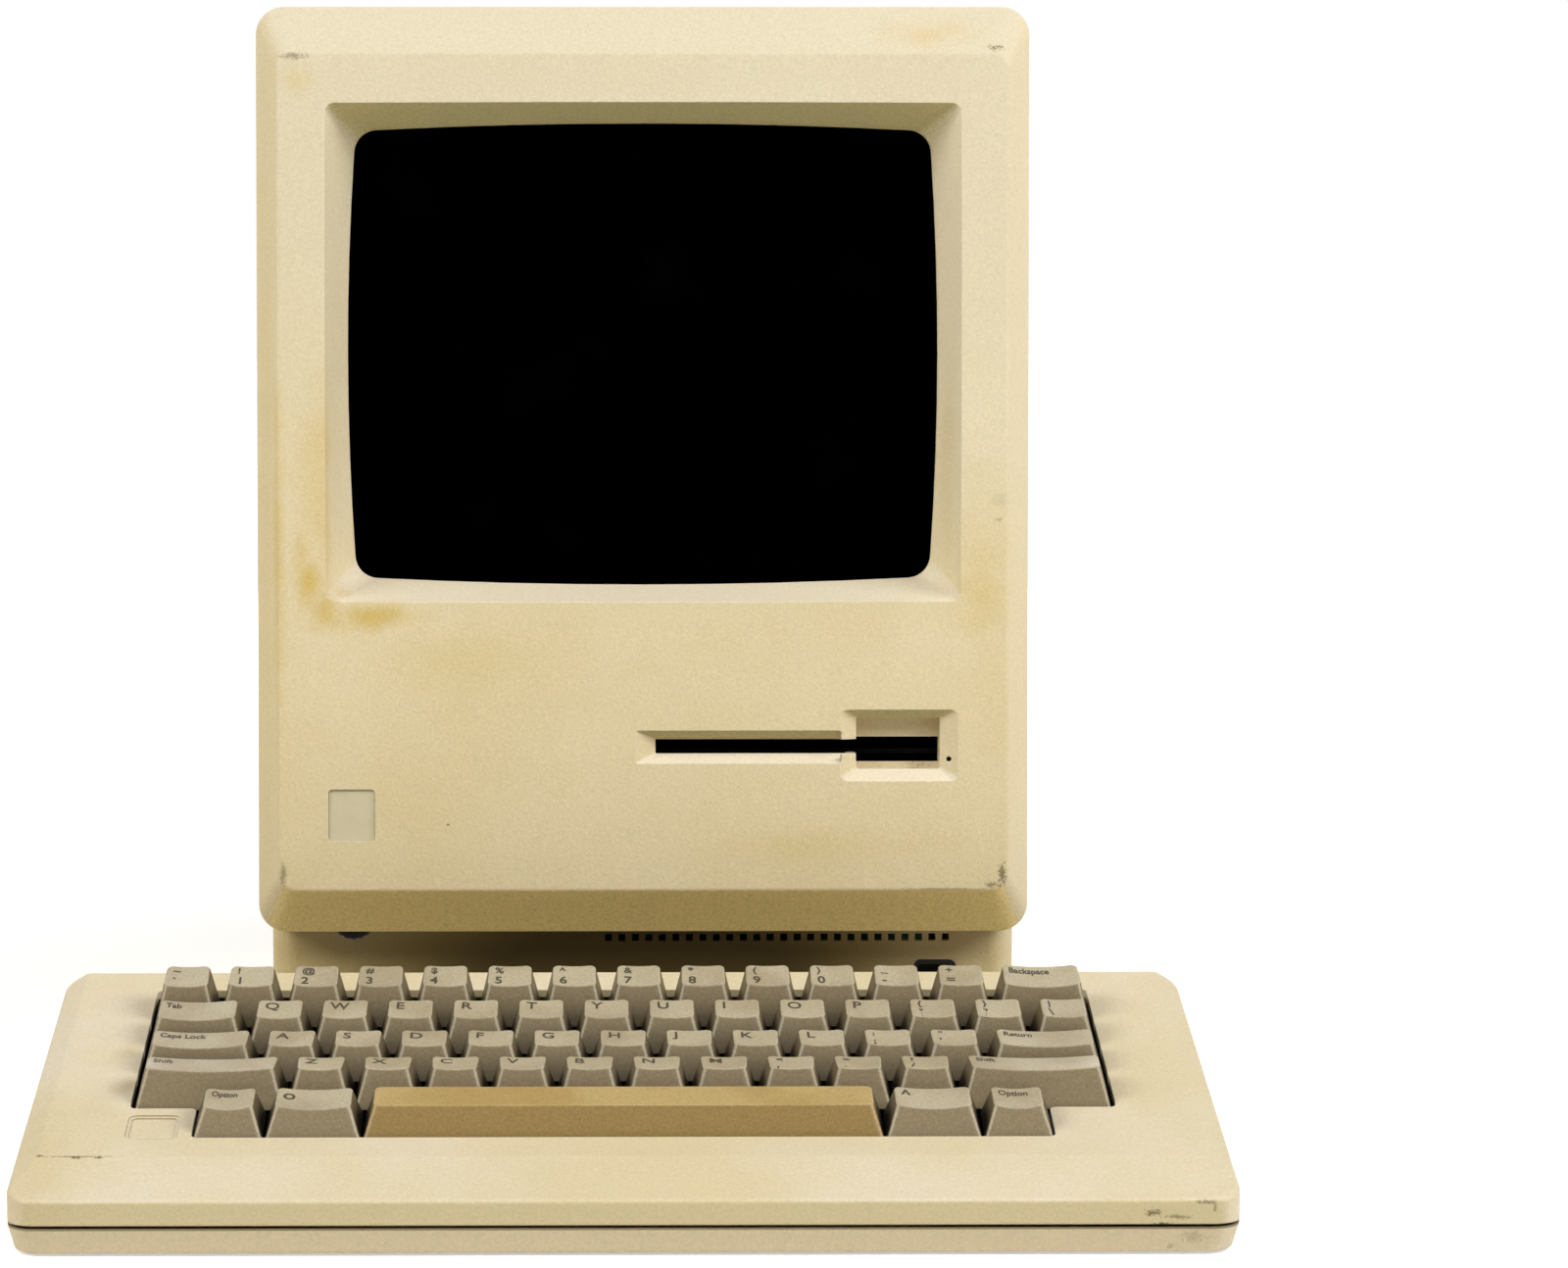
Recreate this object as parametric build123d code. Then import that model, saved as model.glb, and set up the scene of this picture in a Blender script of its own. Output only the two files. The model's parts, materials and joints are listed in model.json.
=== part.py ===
from build123d import *
import math
import os

# Compact home computer with a built-in screen and disk drive, and its separate keyboard.
# Millimetres, +Z up, fronts towards -Y, +X to the user's right. The origin is under the
# middle of the whole outline, on the desk. Both units stand on rubber feet.

os.makedirs("parts", exist_ok=True)

# ---------------------------------------------------------------- general sizes
WALL = 3.0                    # moulded wall of the computer's case
GAP = 0.3                     # room between pieces that move past each other
FIT = 0.1                     # room between pieces that are pushed together
SCREW_R = 1.9
SCREW_HEAD_R = 3.6
SCREW_HEAD_H = 2.4
SHEET = 1.5                   # metal sheet of chassis and drive
BOARD = 1.6                   # circuit boards
EDGE = 0.6                    # small chamfers on knob and feet

# ---------------------------------------------------------------- keyboard sizes
kb_width = 335.0
kb_depth = 146.0
kb_corner_r = 8.0
kb_wall = 2.5
kb_foot_h = 0.8
kb_foot_r = 6.0
kb_foot_side = 22.0           # feet to the keyboard's sides, and to its front and rear
kb_foot_end = 18.0
kb_seam_z = 8.1               # top of the lower shell
kb_seam_gap = 0.8
kb_front_z = 15.8             # top edge of the front wall
kb_deck_run = 125.1           # from the crease, where the front slope meets the key deck, to the rear
kb_crease_z = 23.4
kb_deck_tilt = 12.95
kb_side_bevel = 6.3           # sloping border beside the deck
kb_side_drop = 2.4
kb_under_inset = 1.8          # the lower shell narrows downwards by this
kb_under_r = 1.2
kb_deck_edge_r = 1.6

pitch = 19.05                 # from key to key
key_gap = 0.8                 # between two keycaps at their bases
key_row_front = 11.8          # from the crease to the well's front edge
key_clear = 0.7               # from the key field to the well's edge
key_rear_clear = 5.75         # the same behind the rearmost row
well_step = 18.85             # the well is narrower by this at the front row, each side
key_travel = 3.6
well_r = 1.8
cap_base_n = -1.2             # keycap's lower edge, from the deck's surface
cap_base_r = 1.6
cap_top_r = 2.2
cap_side_in = 2.8             # how far the sides lean in, each side
cap_front_in = 4.6
cap_rear_in = 1.5
cap_wall = 1.2
cap_inner_r = 0.5
cap_roof = 2.1                # thickness of the keytop's middle under its hollow
cap_spare = 4.0               # height cut away above the keytop
cap_edge_r = 0.7
dish_u = 0.55                 # depth of the hollow in a one-unit keytop
dish_wide = 1.0
dish_over = 0.4               # the hollow runs this far past the keytop's sides
flat_units = 3                # wider keytops than this have no hollow
# rows from the front: height of the keytop's middle and how it tilts, rear edge up
row_height = [7.2, 8.9, 8.1, 8.9, 11.2]
row_tilt = [0.5, -9.0, -4.0, 0.5, 5.0]
# rows from the front: key widths in units
row_units = [
    [1.05, 1.43, 7.64, 1.43, 1.05],
    [2.25] + [1] * 10 + [2.25],
    [1.75] + [1] * 11 + [1.75],
    [1.5] + [1] * 13,
    [1] * 13 + [1.5],
]
row_start = [0.95, 0, 0, 0, 0]   # units from the widest row's left end
wide_names = {
    (0, 0): "key_option_left", (0, 1): "key_command", (0, 2): "key_space", (0, 3): "key_enter",
    (0, 4): "key_option_right", (1, 0): "key_shift_left", (1, 11): "key_shift_right",
    (2, 0): "key_caps_lock", (2, 12): "key_return", (3, 0): "key_tab", (4, 13): "key_backspace",
}
# neighbouring one-unit keys that share a node: row, first key, last key
key_groups = {
    "keys_bottom_left": (1, 1, 5), "keys_bottom_right": (1, 6, 10),
    "keys_home_left": (2, 1, 4), "keys_home_middle": (2, 5, 8), "keys_home_right": (2, 9, 11),
    "keys_upper_left": (3, 1, 4), "keys_upper_middle": (3, 5, 8), "keys_upper_right": (3, 9, 13),
    "keys_number_left": (4, 0, 4), "keys_number_middle": (4, 5, 8), "keys_number_right": (4, 9, 12),
}
board_units = 14.5

plate_t = 1.2
plate_margin = 6.0            # plate beyond the key field
plate_boss_row = 4.6          # the rear bosses stand this many rows behind the well's front
cap_room = 1.8                # under a pressed keycap
switch_top = 6.5              # switch body above the plate
switch_x = 11.6
switch_y = 11.0
switch_under_x = 13.6
switch_under_y = 12.6
switch_flange = 1.4
switch_lip = 1.0
switch_floor = 1.0
stem_x = 4.6
stem_y = 3.6
stem_n = -7.0                 # lower end of the keycap's stem
stem_room = 1.4               # under a pressed stem
guide_x = 5.0
guide_y = 7.0
guide_h = 1.9
guide_units = 1.5             # wider keys than this have guides

recess_left = -138.5          # bare recess at the deck's front left corner
recess_right = -123.9
recess_w0 = 10.9
recess_w1 = 26.3
recess_depth = 0.8
recess_corner = 2.4
recess_step = 1.0             # its floor is stepped in by this and half as deep at the rim

jack_x = 120.0                # the keyboard's socket in its rear wall
jack_w = 16.0
jack_h = 13.0
jack_d = 18.0
jack_hole_w = 11.4
jack_hole_h = 8.0
jack_hole_d = 11.0
kb_jack_z = 17.0

# ---------------------------------------------------------------- computer sizes
computer_x = 7.0              # its middle stands this far right of the keyboard's
desk_gap = 64.6               # from the keyboard's rear to the foot of the face
computer_depth = 277.0
case_width = 246.0
foot_h = 3.0
foot_r = 9.0
foot_side = 22.5              # feet to the base's sides
foot_front = 13.5             # front feet behind the bezel
foot_back = 32.0              # rear feet from the rear
face_foot_z = 53.0            # heights on the face are measured from here, along it
face_tilt = 4.0
face_in = 7.2                 # the flat face starts this far inside the case, each side
face_low = 13.0
face_high = 277.9
rim_low = -1.2
rim_high = 293.6
chamfer_depth = 11.0
bezel_depth = 40.0
rim_r = 9.0
face_r = 5.5
face_edge_r = 1.6
step_z = 51.0                 # underside of the upper body
base_inset = 2.5              # the base is narrower than the body, each side
base_setback = 26.0
base_corner_r = 8.0
chin_room = 1.5               # between the knob and the ceiling behind the chin
chin_recess_in = 4.5          # the recess behind the chin ends this far inside the base
seam_gap = 0.4
rear_taper = 5.0              # the case is narrower at the rear, each side
rear_chamfer = 14.0

screen_w = 183.5              # middle of the screen on the face
recess_side = 22.4            # from the case's side to the screen's recess
recess_half_h = 78.7
recess_bulge = 0.25
recess_r = 3.0
screen_depth = 16.0
screen_side = 8.8             # from the recess's edge to the screen's
screen_half_h = 71.3
screen_bulge_w = 2.7
screen_bulge_h = 2.5
screen_r = 7.5
screen_lip = 3.0
funnel_wall = 2.5

slot_x0 = 3.8
slot_x1 = 94.3
slot_w0 = 56.2
slot_w1 = 60.8
slot_depth = 4.0
groove_x0 = -2.4
groove_w0 = 53.3
groove_w1 = 63.7
thumb_x0 = 67.6
thumb_w0 = 51.3
thumb_w1 = 67.7
thumb_depth = 10.0
thumb_slope = 3.0
thumb_r = 0.8
thumb_rim_r = 2.4
thumb_rim_x0 = 62.5
thumb_rim_x1 = 100.0
thumb_rim_w0 = 47.6
thumb_rim_w1 = 70.3
thumb_mouth_w0 = 53.2
thumb_mouth_w1 = 61.2
pin_x = 97.1
pin_w = 54.5
pin_r = 0.8

badge_x0 = -100.0
badge_x1 = -85.2
badge_w0 = 28.8
badge_w1 = 45.0
badge_r = 1.3
badge_depth = 1.2
badge_t = 0.6

knob_x = -93.1
knob_z = 54.4
knob_r = 7.2
knob_len = 8.5
knob_shaft_r = 3.0
knob_bearing = 0.06
knob_grooves = 18
knob_groove_r = 0.7
knob_groove_out = 0.35        # the grooves' middles lie this far outside the rim
pot_r = 8.0
pot_len = 9.0

vent_x0 = -11.2
vent_x1 = 98.0
vent_count = 26
vent_size = 2.3
vent_z = 46.4

socket_x = 94.6
socket_z = 33.4
socket_w = 13.6
socket_h = 11.0
socket_r = 2.2
socket_rim = 1.4
socket_d = 14.0

# the picture tube, measured back from the face
tube_over_w = 11.2            # the tube is larger than its window, each side
tube_over_h = 10.7
tube_r = 14.0
tube_dome_r = 700.0
tube_apex = 15.8
tube_band_d = 24.0
tube_skirt = 34.0
tube_throat = 130.0
tube_throat_half = 16.0
tube_neck_r = 14.5
tube_len = 215.0
tube_face_t = 8.0
tube_glass = 3.0
band_t = 3.0
band_len = 10.0
ear_size = 20.0
ear_out_x = 7.0               # screws in the ears, from the tube's sides
ear_out_h = 2.0
ear_t = 2.0
ear_post_r = 4.2
yoke_len = 34.0
yoke_front_r = 38.0
yoke_rear_r = 28.0
yoke_flange = 10.0
neck_board_size = 62.0
neck_socket_r = 18.0
neck_socket_len = 12.0

# chassis, boards and drive, relative to the computer's middle and the face's foot
tray_z = 56.0
tray_side_gap = 11.0          # tray, boards and upright to the outside of the case
tray_rear_gap = 19.0
upright_in = 6.0              # upright inside the tray's edge
upright_top = 262.0
tray_foot_r = 3.0
upright_y0 = 62.0
upright_rear_gap = 31.0
analog_gap = 4.5
analog_y0 = 66.0
analog_in = 2.0               # board inside the upright's rear edge
analog_z0 = 66.0
analog_z1 = 256.0
board_post_in = 10.0
# capacitors: place along and up the board from its corner, radius, length
capacitors = [(34.0, 84.0, 11.0, 34.0), (60.0, 84.0, 11.0, 34.0),
              (34.0, 112.0, 8.0, 24.0), (58.0, 112.0, 8.0, 24.0)]
sink_x = 32.0
sink_t = 3.0
sink_in = 14.0
sink_z0 = 176.0
sink_z1 = 224.0
flyback_x = 38.0
flyback_y = 45.0
flyback_z = 50.0
flyback_in = 38.0             # its middle in front of the upright's rear edge
flyback_at_z = 120.0
flyback_cap_r = 12.7
flyback_cap_h = 12.0
logic_side_gap = 15.0
logic_y0 = 48.0
logic_rear_gap = 13.0
logic_z = 14.0
logic_post_r = 4.0
logic_post_side = 12.0        # posts to the logic board's sides, front and rear
logic_post_front = 22.0
logic_post_back = 30.0
# chips in rows: how many, first corner from the board's front left corner, step, size
chip_rows = [(8, 24.0, 34.0, 22.0, 8.0, 22.0, 4.0), (8, 24.0, 66.0, 22.0, 8.0, 22.0, 4.0),
             (1, 78.0, 106.0, 22.0, 80.0, 24.0, 5.0), (3, 28.0, 150.0, 52.0, 36.0, 16.0, 4.0)]
drive_x0 = -2.0
drive_x1 = 100.0
drive_y0 = 20.0
drive_y1 = 164.0
drive_z0 = 92.0
drive_z1 = 128.0
holder_y0 = 26.0
holder_y1 = 118.0
holder_side = 2.5             # holder to the drive's side walls
holder_w = 1.5
holder_h = 9.5
holder_room = 1.2             # over the head's block when the holder is down
holder_pin_r = 1.5
holder_pin_in = 14.0
holder_window_x = 16.0
holder_window_y = 18.0
disk_drop = 4.5
spindle_y = 72.0
spindle_r = 13.0
hub_r = 4.0
hub_h = 1.5
spindle_shaft_r = 2.5
spindle_bearing = 0.05
spindle_shaft_up = 2.0
rail_r = 2.0
rail_room = 0.5               # between the head's block and the rails' ends
rail_tab_side = 4.0
rail_x = 9.0                  # rails beside the head's middle line
head_w = 26.0
head_len = 20.0
head_h = 7.0
head_arm = 8.0
head_arm_half = 3.0
head_travel = 22.0
head_y = 136.0
rail_tab_t = 2.0
speaker_x = -60.0
speaker_w = 42.0
speaker_r = 25.0
speaker_cone_d = 9.0
speaker_magnet_r = 15.0
speaker_d = 20.0
speaker_rim = 2.0

# rear of the case
rear_column_in = 44.0         # column of inlet, switch and battery, from the case's side
panel_flange = 2.0            # inlet and switch are wider behind the wall
inlet_z = 78.0
inlet_w = 30.0
inlet_h = 24.0
inlet_d = 22.0
inlet_hole_w = 24.0
inlet_hole_h = 16.0
inlet_hole_d = 16.0
inlet_pin_w = 2.0
inlet_pin_h = 4.5
inlet_pin_step = 7.0
inlet_pin_dz = 2.0
inlet_pin_in = 3.0
switch_z = 110.0
switch_w = 22.0
switch_h = 28.0
switch_d = 18.0
rocker_w = 15.0
rocker_h = 20.0
rocker_angle = 8.0            # half of the rocker's swing
rocker_proud = 2.6
rocker_deep = 6.0
rocker_pin_r = 1.5
rocker_bearing = 0.06
rocker_edge = 1.0
battery_z = 152.0
battery_w = 50.0
battery_h = 24.0
battery_d = 26.0
battery_r = 8.6
battery_len = 41.0
battery_end = 2.0
door_t = 2.4
door_notch_half = 8.0
door_notch_h = 4.0
door_pin_r = 1.2
door_bearing = 0.06
port_half = 92.0
port_z0 = 12.5
port_z1 = 40.0
port_recess = 8.0
port_shell = 9.0
port_metal = 1.2
port_lift = 1.0               # shells over the logic board
port_out = 6.0                # shells beyond the rear wall
port_body = 14.0
port_body_side = 2.0
port_body_top = 2.0
port_sink = 4.0               # the hollow goes this far into the body
# middle and width of each shell
ports = [(68.0, 31.0), (24.0, 53.0), (-20.0, 31.0), (-56.0, 31.0)]
audio_x = -80.0
audio_r = 4.0
audio_half = 7.0
audio_deep = 10.0
handle_half = 52.0
handle_y0 = 84.0
handle_y1 = 118.0
handle_deep = 28.0
handle_under = 10.0
handle_mouth_h = 16.0
side_vent_w = 3.0
side_vent_step = 7.0
side_vent_n = 14
side_vent_y0 = 120.0
low_vent_z0 = 16.0
low_vent_z1 = 42.0
high_vent_z0 = 286.0
high_vent_z1 = 308.0
rear_screw_z = 52.0
rear_screw_x = 94.0
rear_boss_r = 6.0
rear_boss_len = 14.0
screw_len = 14.0

# ---------------------------------------------------------------- places worked out from them
overall_depth = kb_depth + desk_gap + computer_depth
front_y = -overall_depth / 2
face_y = front_y + kb_depth + desk_gap
rear_y = face_y + computer_depth
case_half = case_width / 2
base_half = case_half - base_inset
kb_crease_y = kb_depth - kb_deck_run
face_width = case_width - 2 * face_in
chin_recess_half = base_half - chin_recess_in
recess_half_w = case_half - recess_side
screen_half_w = recess_half_w - screen_side
tube_half_w = screen_half_w + tube_over_w
tube_half_h = screen_half_h + tube_over_h
ear_x = tube_half_w + ear_out_x
ear_h = tube_half_h + ear_out_h
tray_half = case_half - tray_side_gap
tray_back = computer_depth - tray_rear_gap
upright_x = upright_in - tray_half
upright_y1 = computer_depth - upright_rear_gap
analog_y1 = upright_y1 - analog_in
flyback_at_y = upright_y1 - flyback_in
logic_half = case_half - logic_side_gap
logic_y1 = computer_depth - logic_rear_gap
rear_x = rear_column_in - case_half
base_y = face_y + base_setback
kb_bottom_z = kb_foot_h
field_d = len(row_units) * pitch
well_rear = key_row_front + key_clear + field_d + key_rear_clear
chin_drop = base_setback * math.sin(math.radians(face_tilt))
chin_recess_w = (knob_z + knob_r + chin_room - face_foot_z + chin_drop) / math.cos(math.radians(face_tilt))
plate_n = cap_base_n - key_travel - cap_room - switch_flange
switch_depth = key_travel - stem_n + plate_n + switch_floor + stem_room
drive_floor = drive_z0 + SHEET
holder_z0 = drive_floor + GAP + head_h + holder_room + disk_drop
holder_z1 = holder_z0 + holder_h
spindle_top = holder_z0 + holder_w - disk_drop
rail_y0 = head_y - head_arm - head_travel - rail_room - rail_tab_t
rail_y1 = head_y + head_len + rail_room + rail_tab_t
port_z = logic_z + BOARD + port_lift
BIG = 1000.0

face = Plane(
    origin=(computer_x, face_y, face_foot_z),
    x_dir=(1, 0, 0),
    z_dir=(0, -math.cos(math.radians(face_tilt)), math.sin(math.radians(face_tilt))),
)
deck = Plane(
    origin=(0, front_y + kb_crease_y, kb_crease_z),
    x_dir=(1, 0, 0),
    z_dir=(0, -math.sin(math.radians(kb_deck_tilt)), math.cos(math.radians(kb_deck_tilt))),
)


def block(x0, x1, y0, y1, z0, z1):
    """A box between two corners."""
    return Pos((x0 + x1) / 2, (y0 + y1) / 2, (z0 + z1) / 2) * Box(x1 - x0, y1 - y0, z1 - z0)


def inside(x0, x1, y0, y1, z0, z1):
    """A box placed from the computer's middle and the foot of its face."""
    return block(computer_x + x0, computer_x + x1, face_y + y0, face_y + y1, z0, z1)


def on_face(x0, x1, w0, w1, d0, d1):
    """A box set square to the face: across, up the face and back from it."""
    return face.location * block(x0, x1, w0, w1, -d1, -d0)


def on_deck(x0, x1, w0, w1, n0, n1):
    """A box set square to the key deck."""
    return deck.location * block(x0, x1, w0, w1, n0, n1)


def face_loft(x0, x1, w0, w1, r, d, x2, x3, w2, w3, r2, d2):
    """A tapering block between two rounded rectangles parallel to the face."""
    near = face.offset(-d) * Pos((x0 + x1) / 2, (w0 + w1) / 2) * RectangleRounded(x1 - x0, w1 - w0, r)
    far = face.offset(-d2) * Pos((x2 + x3) / 2, (w2 + w3) / 2) * RectangleRounded(x3 - x2, w3 - w2, r2)
    return loft([near, far], ruled=True)


def face_prism(half, w0, w1, r, d0, d1):
    """A rounded bar square to the face."""
    outline = face.offset(-d1) * Pos(0, (w0 + w1) / 2) * RectangleRounded(2 * half, w1 - w0, r)
    return extrude(outline, d1 - d0)


def bulged(half_w, half_h, bulge_w, bulge_h, r):
    """A rectangle whose sides bow outwards, with rounded corners."""
    a = (-half_w, -half_h)
    b = (half_w, -half_h)
    c = (half_w, half_h)
    d = (-half_w, half_h)
    sides = [
        ThreePointArc(a, (0, -half_h - bulge_h), b),
        ThreePointArc(b, (half_w + bulge_w, 0), c),
        ThreePointArc(c, (0, half_h + bulge_h), d),
        ThreePointArc(d, (-half_w - bulge_w, 0), a),
    ]
    outline = make_face(sides)
    return fillet(outline.vertices(), radius=r)


def rod(r, start, end):
    """A round bar between two points."""
    a = Vector(*start)
    b = Vector(*end)
    return extrude(Plane(origin=a, z_dir=b - a) * Circle(r), (b - a).length)


def save(name, *shapes):
    """Write one node: a single solid, or several separate ones."""
    solids = []
    for shape in shapes:
        solids.extend(shape.solids())
    whole = solids[0] if len(solids) == 1 else Compound(children=solids)
    export_step(whole, f"parts/{name}.step")


# ---------------------------------------------------------------- computer: case
def seam_half_space(offset):
    """Everything in front of the seam between bezel and rear case."""
    return face.location * block(-BIG, BIG, -BIG, BIG, -bezel_depth - offset, BIG)


def bezel_body(inset):
    """The bezel's outer form, or its hollow when inset by the wall."""
    slope = inset * (rim_high - face_high) / (rim_high - face_high + chamfer_depth)
    half = case_half - inset
    front_half = face_width / 2 - slope
    low = rim_low + inset
    high = rim_high - inset
    depth = chamfer_depth + inset / 2
    taper = face_loft(
        -front_half, front_half, face_low + slope, face_high - slope, face_r, inset,
        -half, half, low, high, rim_r - inset / 2, depth,
    )
    return taper + face_prism(half, low, high, rim_r - inset / 2, depth, bezel_depth)


def base_body(inset):
    """The narrower base: its front wall stands behind the chin."""
    half = base_half - inset
    rear_half = half - rear_taper
    top = face_foot_z + chin_recess_w + WALL - inset
    floor = foot_h + inset
    front = base_y + inset
    back = rear_y - inset
    corner = base_corner_r - inset
    plan = make_face(Polyline(
        (computer_x - half, front), (computer_x + half, front),
        (computer_x + rear_half, back - rear_chamfer), (computer_x + rear_half - rear_chamfer, back),
        (computer_x - rear_half + rear_chamfer, back), (computer_x - rear_half, back - rear_chamfer),
        (computer_x - half, front)))
    front_corners = plan.vertices().sort_by(Axis.Y)[:2]
    plan = fillet(front_corners, radius=corner)
    return extrude(Pos(0, 0, floor) * plan, top - floor)


def screen_recess():
    """The stepped opening in front of the picture tube."""
    near = face * Pos(0, screen_w) * bulged(
        recess_half_w, recess_half_h, recess_bulge, recess_bulge, recess_r)
    opening = bulged(screen_half_w, screen_half_h, screen_bulge_w, screen_bulge_h, screen_r)
    far = face.offset(-screen_depth) * Pos(0, screen_w) * opening
    lip = extrude(far, -screen_lip - FIT)
    return loft([near, far], ruled=True) + lip


def screen_funnel():
    """The wall around the screen recess, before the recess is cut from it."""
    near = face.offset(-face_edge_r) * Pos(0, screen_w) * bulged(
        recess_half_w + funnel_wall, recess_half_h + funnel_wall, recess_bulge, recess_bulge,
        recess_r + funnel_wall)
    far = face.offset(-screen_depth - screen_lip) * Pos(0, screen_w) * bulged(
        screen_half_w + funnel_wall, screen_half_h + funnel_wall, screen_bulge_w, screen_bulge_h,
        screen_r + funnel_wall)
    return loft([near, far], ruled=True)


def disk_slot():
    """Disk slot with its bevelled groove and the thumb hollow at its right end."""
    groove = face_loft(
        groove_x0, thumb_rim_x0, groove_w0, groove_w1, 0.5, 0,
        slot_x0, thumb_x0, slot_w0, slot_w1, 0.5, slot_depth)
    rim = face_loft(
        thumb_rim_x0, thumb_rim_x1, thumb_rim_w0, thumb_rim_w1, thumb_rim_r, 0,
        thumb_x0, slot_x1, thumb_w0, thumb_w1, thumb_r, thumb_slope)
    hollow = face_loft(
        thumb_x0, slot_x1, thumb_w0, thumb_w1, thumb_r, thumb_slope,
        thumb_x0, slot_x1, thumb_w0, thumb_w1, thumb_r, thumb_depth)
    mouth = on_face(thumb_x0, slot_x1, thumb_mouth_w0, thumb_mouth_w1, thumb_depth, base_setback)
    slot = on_face(slot_x0, slot_x1, slot_w0, slot_w1, 0, base_setback)
    pin = face.location * Pos(pin_x, pin_w, 0) * Cylinder(pin_r, 2 * base_setback)
    return groove + rim + hollow + mouth + slot + pin


def slot_backing():
    """Solid plastic behind the slot, which keeps its hollow walled in."""
    thumb = on_face(thumb_x0 - WALL, thumb_rim_x1, thumb_w0 - WALL, thumb_w1 + WALL,
                    WALL, thumb_depth + WALL)
    groove = on_face(slot_x0 - WALL, thumb_x0, slot_w0 - WALL, slot_w1 + WALL, WALL, 2 * WALL)
    return thumb + groove


def chin_recess():
    """The space behind the chin, over the front vents and the brightness knob."""
    profile = make_face(Polyline(
        (base_setback, -BIG / 10), (base_setback, chin_recess_w), (chamfer_depth / 2, chin_recess_w),
        (chamfer_depth + WALL, rim_low), (chamfer_depth + WALL, -BIG / 10), (base_setback, -BIG / 10)))
    side = Plane(origin=face.origin, x_dir=-face.z_dir, z_dir=face.x_dir)
    return extrude(side * profile, chin_recess_half, both=True)


def tube_posts():
    """Four posts behind the face, for the picture tube's ears."""
    posts = []
    for sx in (-1, 1):
        for sw in (-1, 1):
            posts.append(face.location * Pos(sx * ear_x, screen_w + sw * ear_h, -(tube_band_d + WALL) / 2)
                         * Cylinder(ear_post_r, tube_band_d - WALL))
    return posts


def front_bezel():
    shell = bezel_body(0)
    front_edge = shell.edges().filter_by(
        lambda e: abs((e @ 0.5 - face.origin).dot(face.z_dir)) < FIT)
    shell = fillet(front_edge, radius=face_edge_r)
    shell -= block(-BIG, BIG, -BIG, BIG, -BIG, step_z)
    shell -= chin_recess()
    ceiling = face_foot_z + chin_recess_w + WALL
    hollow = bezel_body(WALL) - block(-BIG, BIG, -BIG, BIG, -BIG, ceiling)
    shell -= hollow
    base = base_body(0) & seam_half_space(0)
    base -= base_body(WALL)
    base &= block(-BIG, BIG, base_y, BIG, 0, ceiling)
    shell += base
    shell -= base_body(WALL) - block(-BIG, BIG, -BIG, BIG, ceiling - WALL, BIG)
    shell += screen_funnel() - screen_recess()
    shell -= screen_recess()
    shell += slot_backing()
    shell -= disk_slot()
    shell -= badge_bar(0, -badge_depth, badge_depth)
    for post in tube_posts():
        shell += post
    shell -= front_vents()
    shell -= socket_bar(FIT, base_setback - GAP, base_setback + WALL)
    shell -= knob_axis_bar(knob_shaft_r + 2 * GAP, base_setback - GAP, base_setback + WALL)
    return shell


def front_vents():
    """A row of small square holes under the chin."""
    step = (vent_x1 - vent_x0) / (vent_count - 1)
    holes = []
    for i in range(vent_count):
        x = vent_x0 + i * step
        holes.append(inside(
            x - vent_size / 2, x + vent_size / 2, base_setback - WALL, base_setback + 2 * WALL,
            vent_z - vent_size / 2, vent_z + vent_size / 2))
    return holes


def knob_axis_bar(r, y0, y1):
    """A round bar on the brightness knob's axis."""
    x = computer_x + knob_x
    return rod(r, (x, face_y + y0, knob_z), (x, face_y + y1, knob_z))


def brightness_knob():
    knob = knob_axis_bar(knob_r, base_setback - GAP - knob_len, base_setback - GAP)
    knob = chamfer(knob.edges().group_by(Axis.Y)[0], length=EDGE)
    for i in range(knob_grooves):
        turn = math.radians(i * 360 / knob_grooves)
        x = computer_x + knob_x + (knob_r + knob_groove_out) * math.cos(turn)
        z = knob_z + (knob_r + knob_groove_out) * math.sin(turn)
        y0 = face_y + base_setback - GAP - knob_len
        knob -= rod(knob_groove_r, (x, y0 - 1, z), (x, y0 + knob_len + 1, z))
    return knob + knob_axis_bar(knob_shaft_r, base_setback - GAP, base_setback + WALL + pot_len / 2)


def brightness_control():
    """The potentiometer behind the wall, whose bearing holds the knob's shaft."""
    body = knob_axis_bar(pot_r, base_setback + WALL, base_setback + WALL + pot_len)
    return body - knob_axis_bar(
        knob_shaft_r + knob_bearing, base_setback, base_setback + WALL + pot_len / 2 + GAP)


def socket_bar(grow, y0, y1):
    """A rounded bar of the cord socket's outline, front to back."""
    middle = (computer_x + socket_x, face_y + y0, socket_z)
    end = Plane(origin=middle, x_dir=(1, 0, 0), z_dir=(0, 1, 0))
    outline = end * RectangleRounded(socket_w + 2 * grow, socket_h + 2 * grow, socket_r + grow)
    return extrude(outline, y1 - y0)


def keyboard_socket():
    """The cord socket in the base's front wall."""
    body = socket_bar(0, base_setback + FIT, base_setback + WALL + socket_d)
    body += socket_bar(socket_rim, base_setback + WALL, base_setback + WALL + socket_d)
    return body - socket_bar(-socket_rim, base_setback, base_setback + socket_d)


def badge_bar(inset, d0, d1):
    """A bar of the badge's outline, square to the face."""
    middle = Pos((badge_x0 + badge_x1) / 2, (badge_w0 + badge_w1) / 2)
    outline = face.offset(-d1) * middle * RectangleRounded(
        badge_x1 - badge_x0 - 2 * inset, badge_w1 - badge_w0 - 2 * inset, badge_r)
    return extrude(outline, d1 - d0)


def badge_plate():
    return badge_bar(FIT, badge_depth - badge_t, badge_depth)


def case_top(y):
    """Height of the case's sloping top at a distance behind the face's foot."""
    tilt = math.radians(face_tilt)
    return face_foot_z + rim_high / math.cos(tilt) - y * math.tan(tilt)


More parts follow.
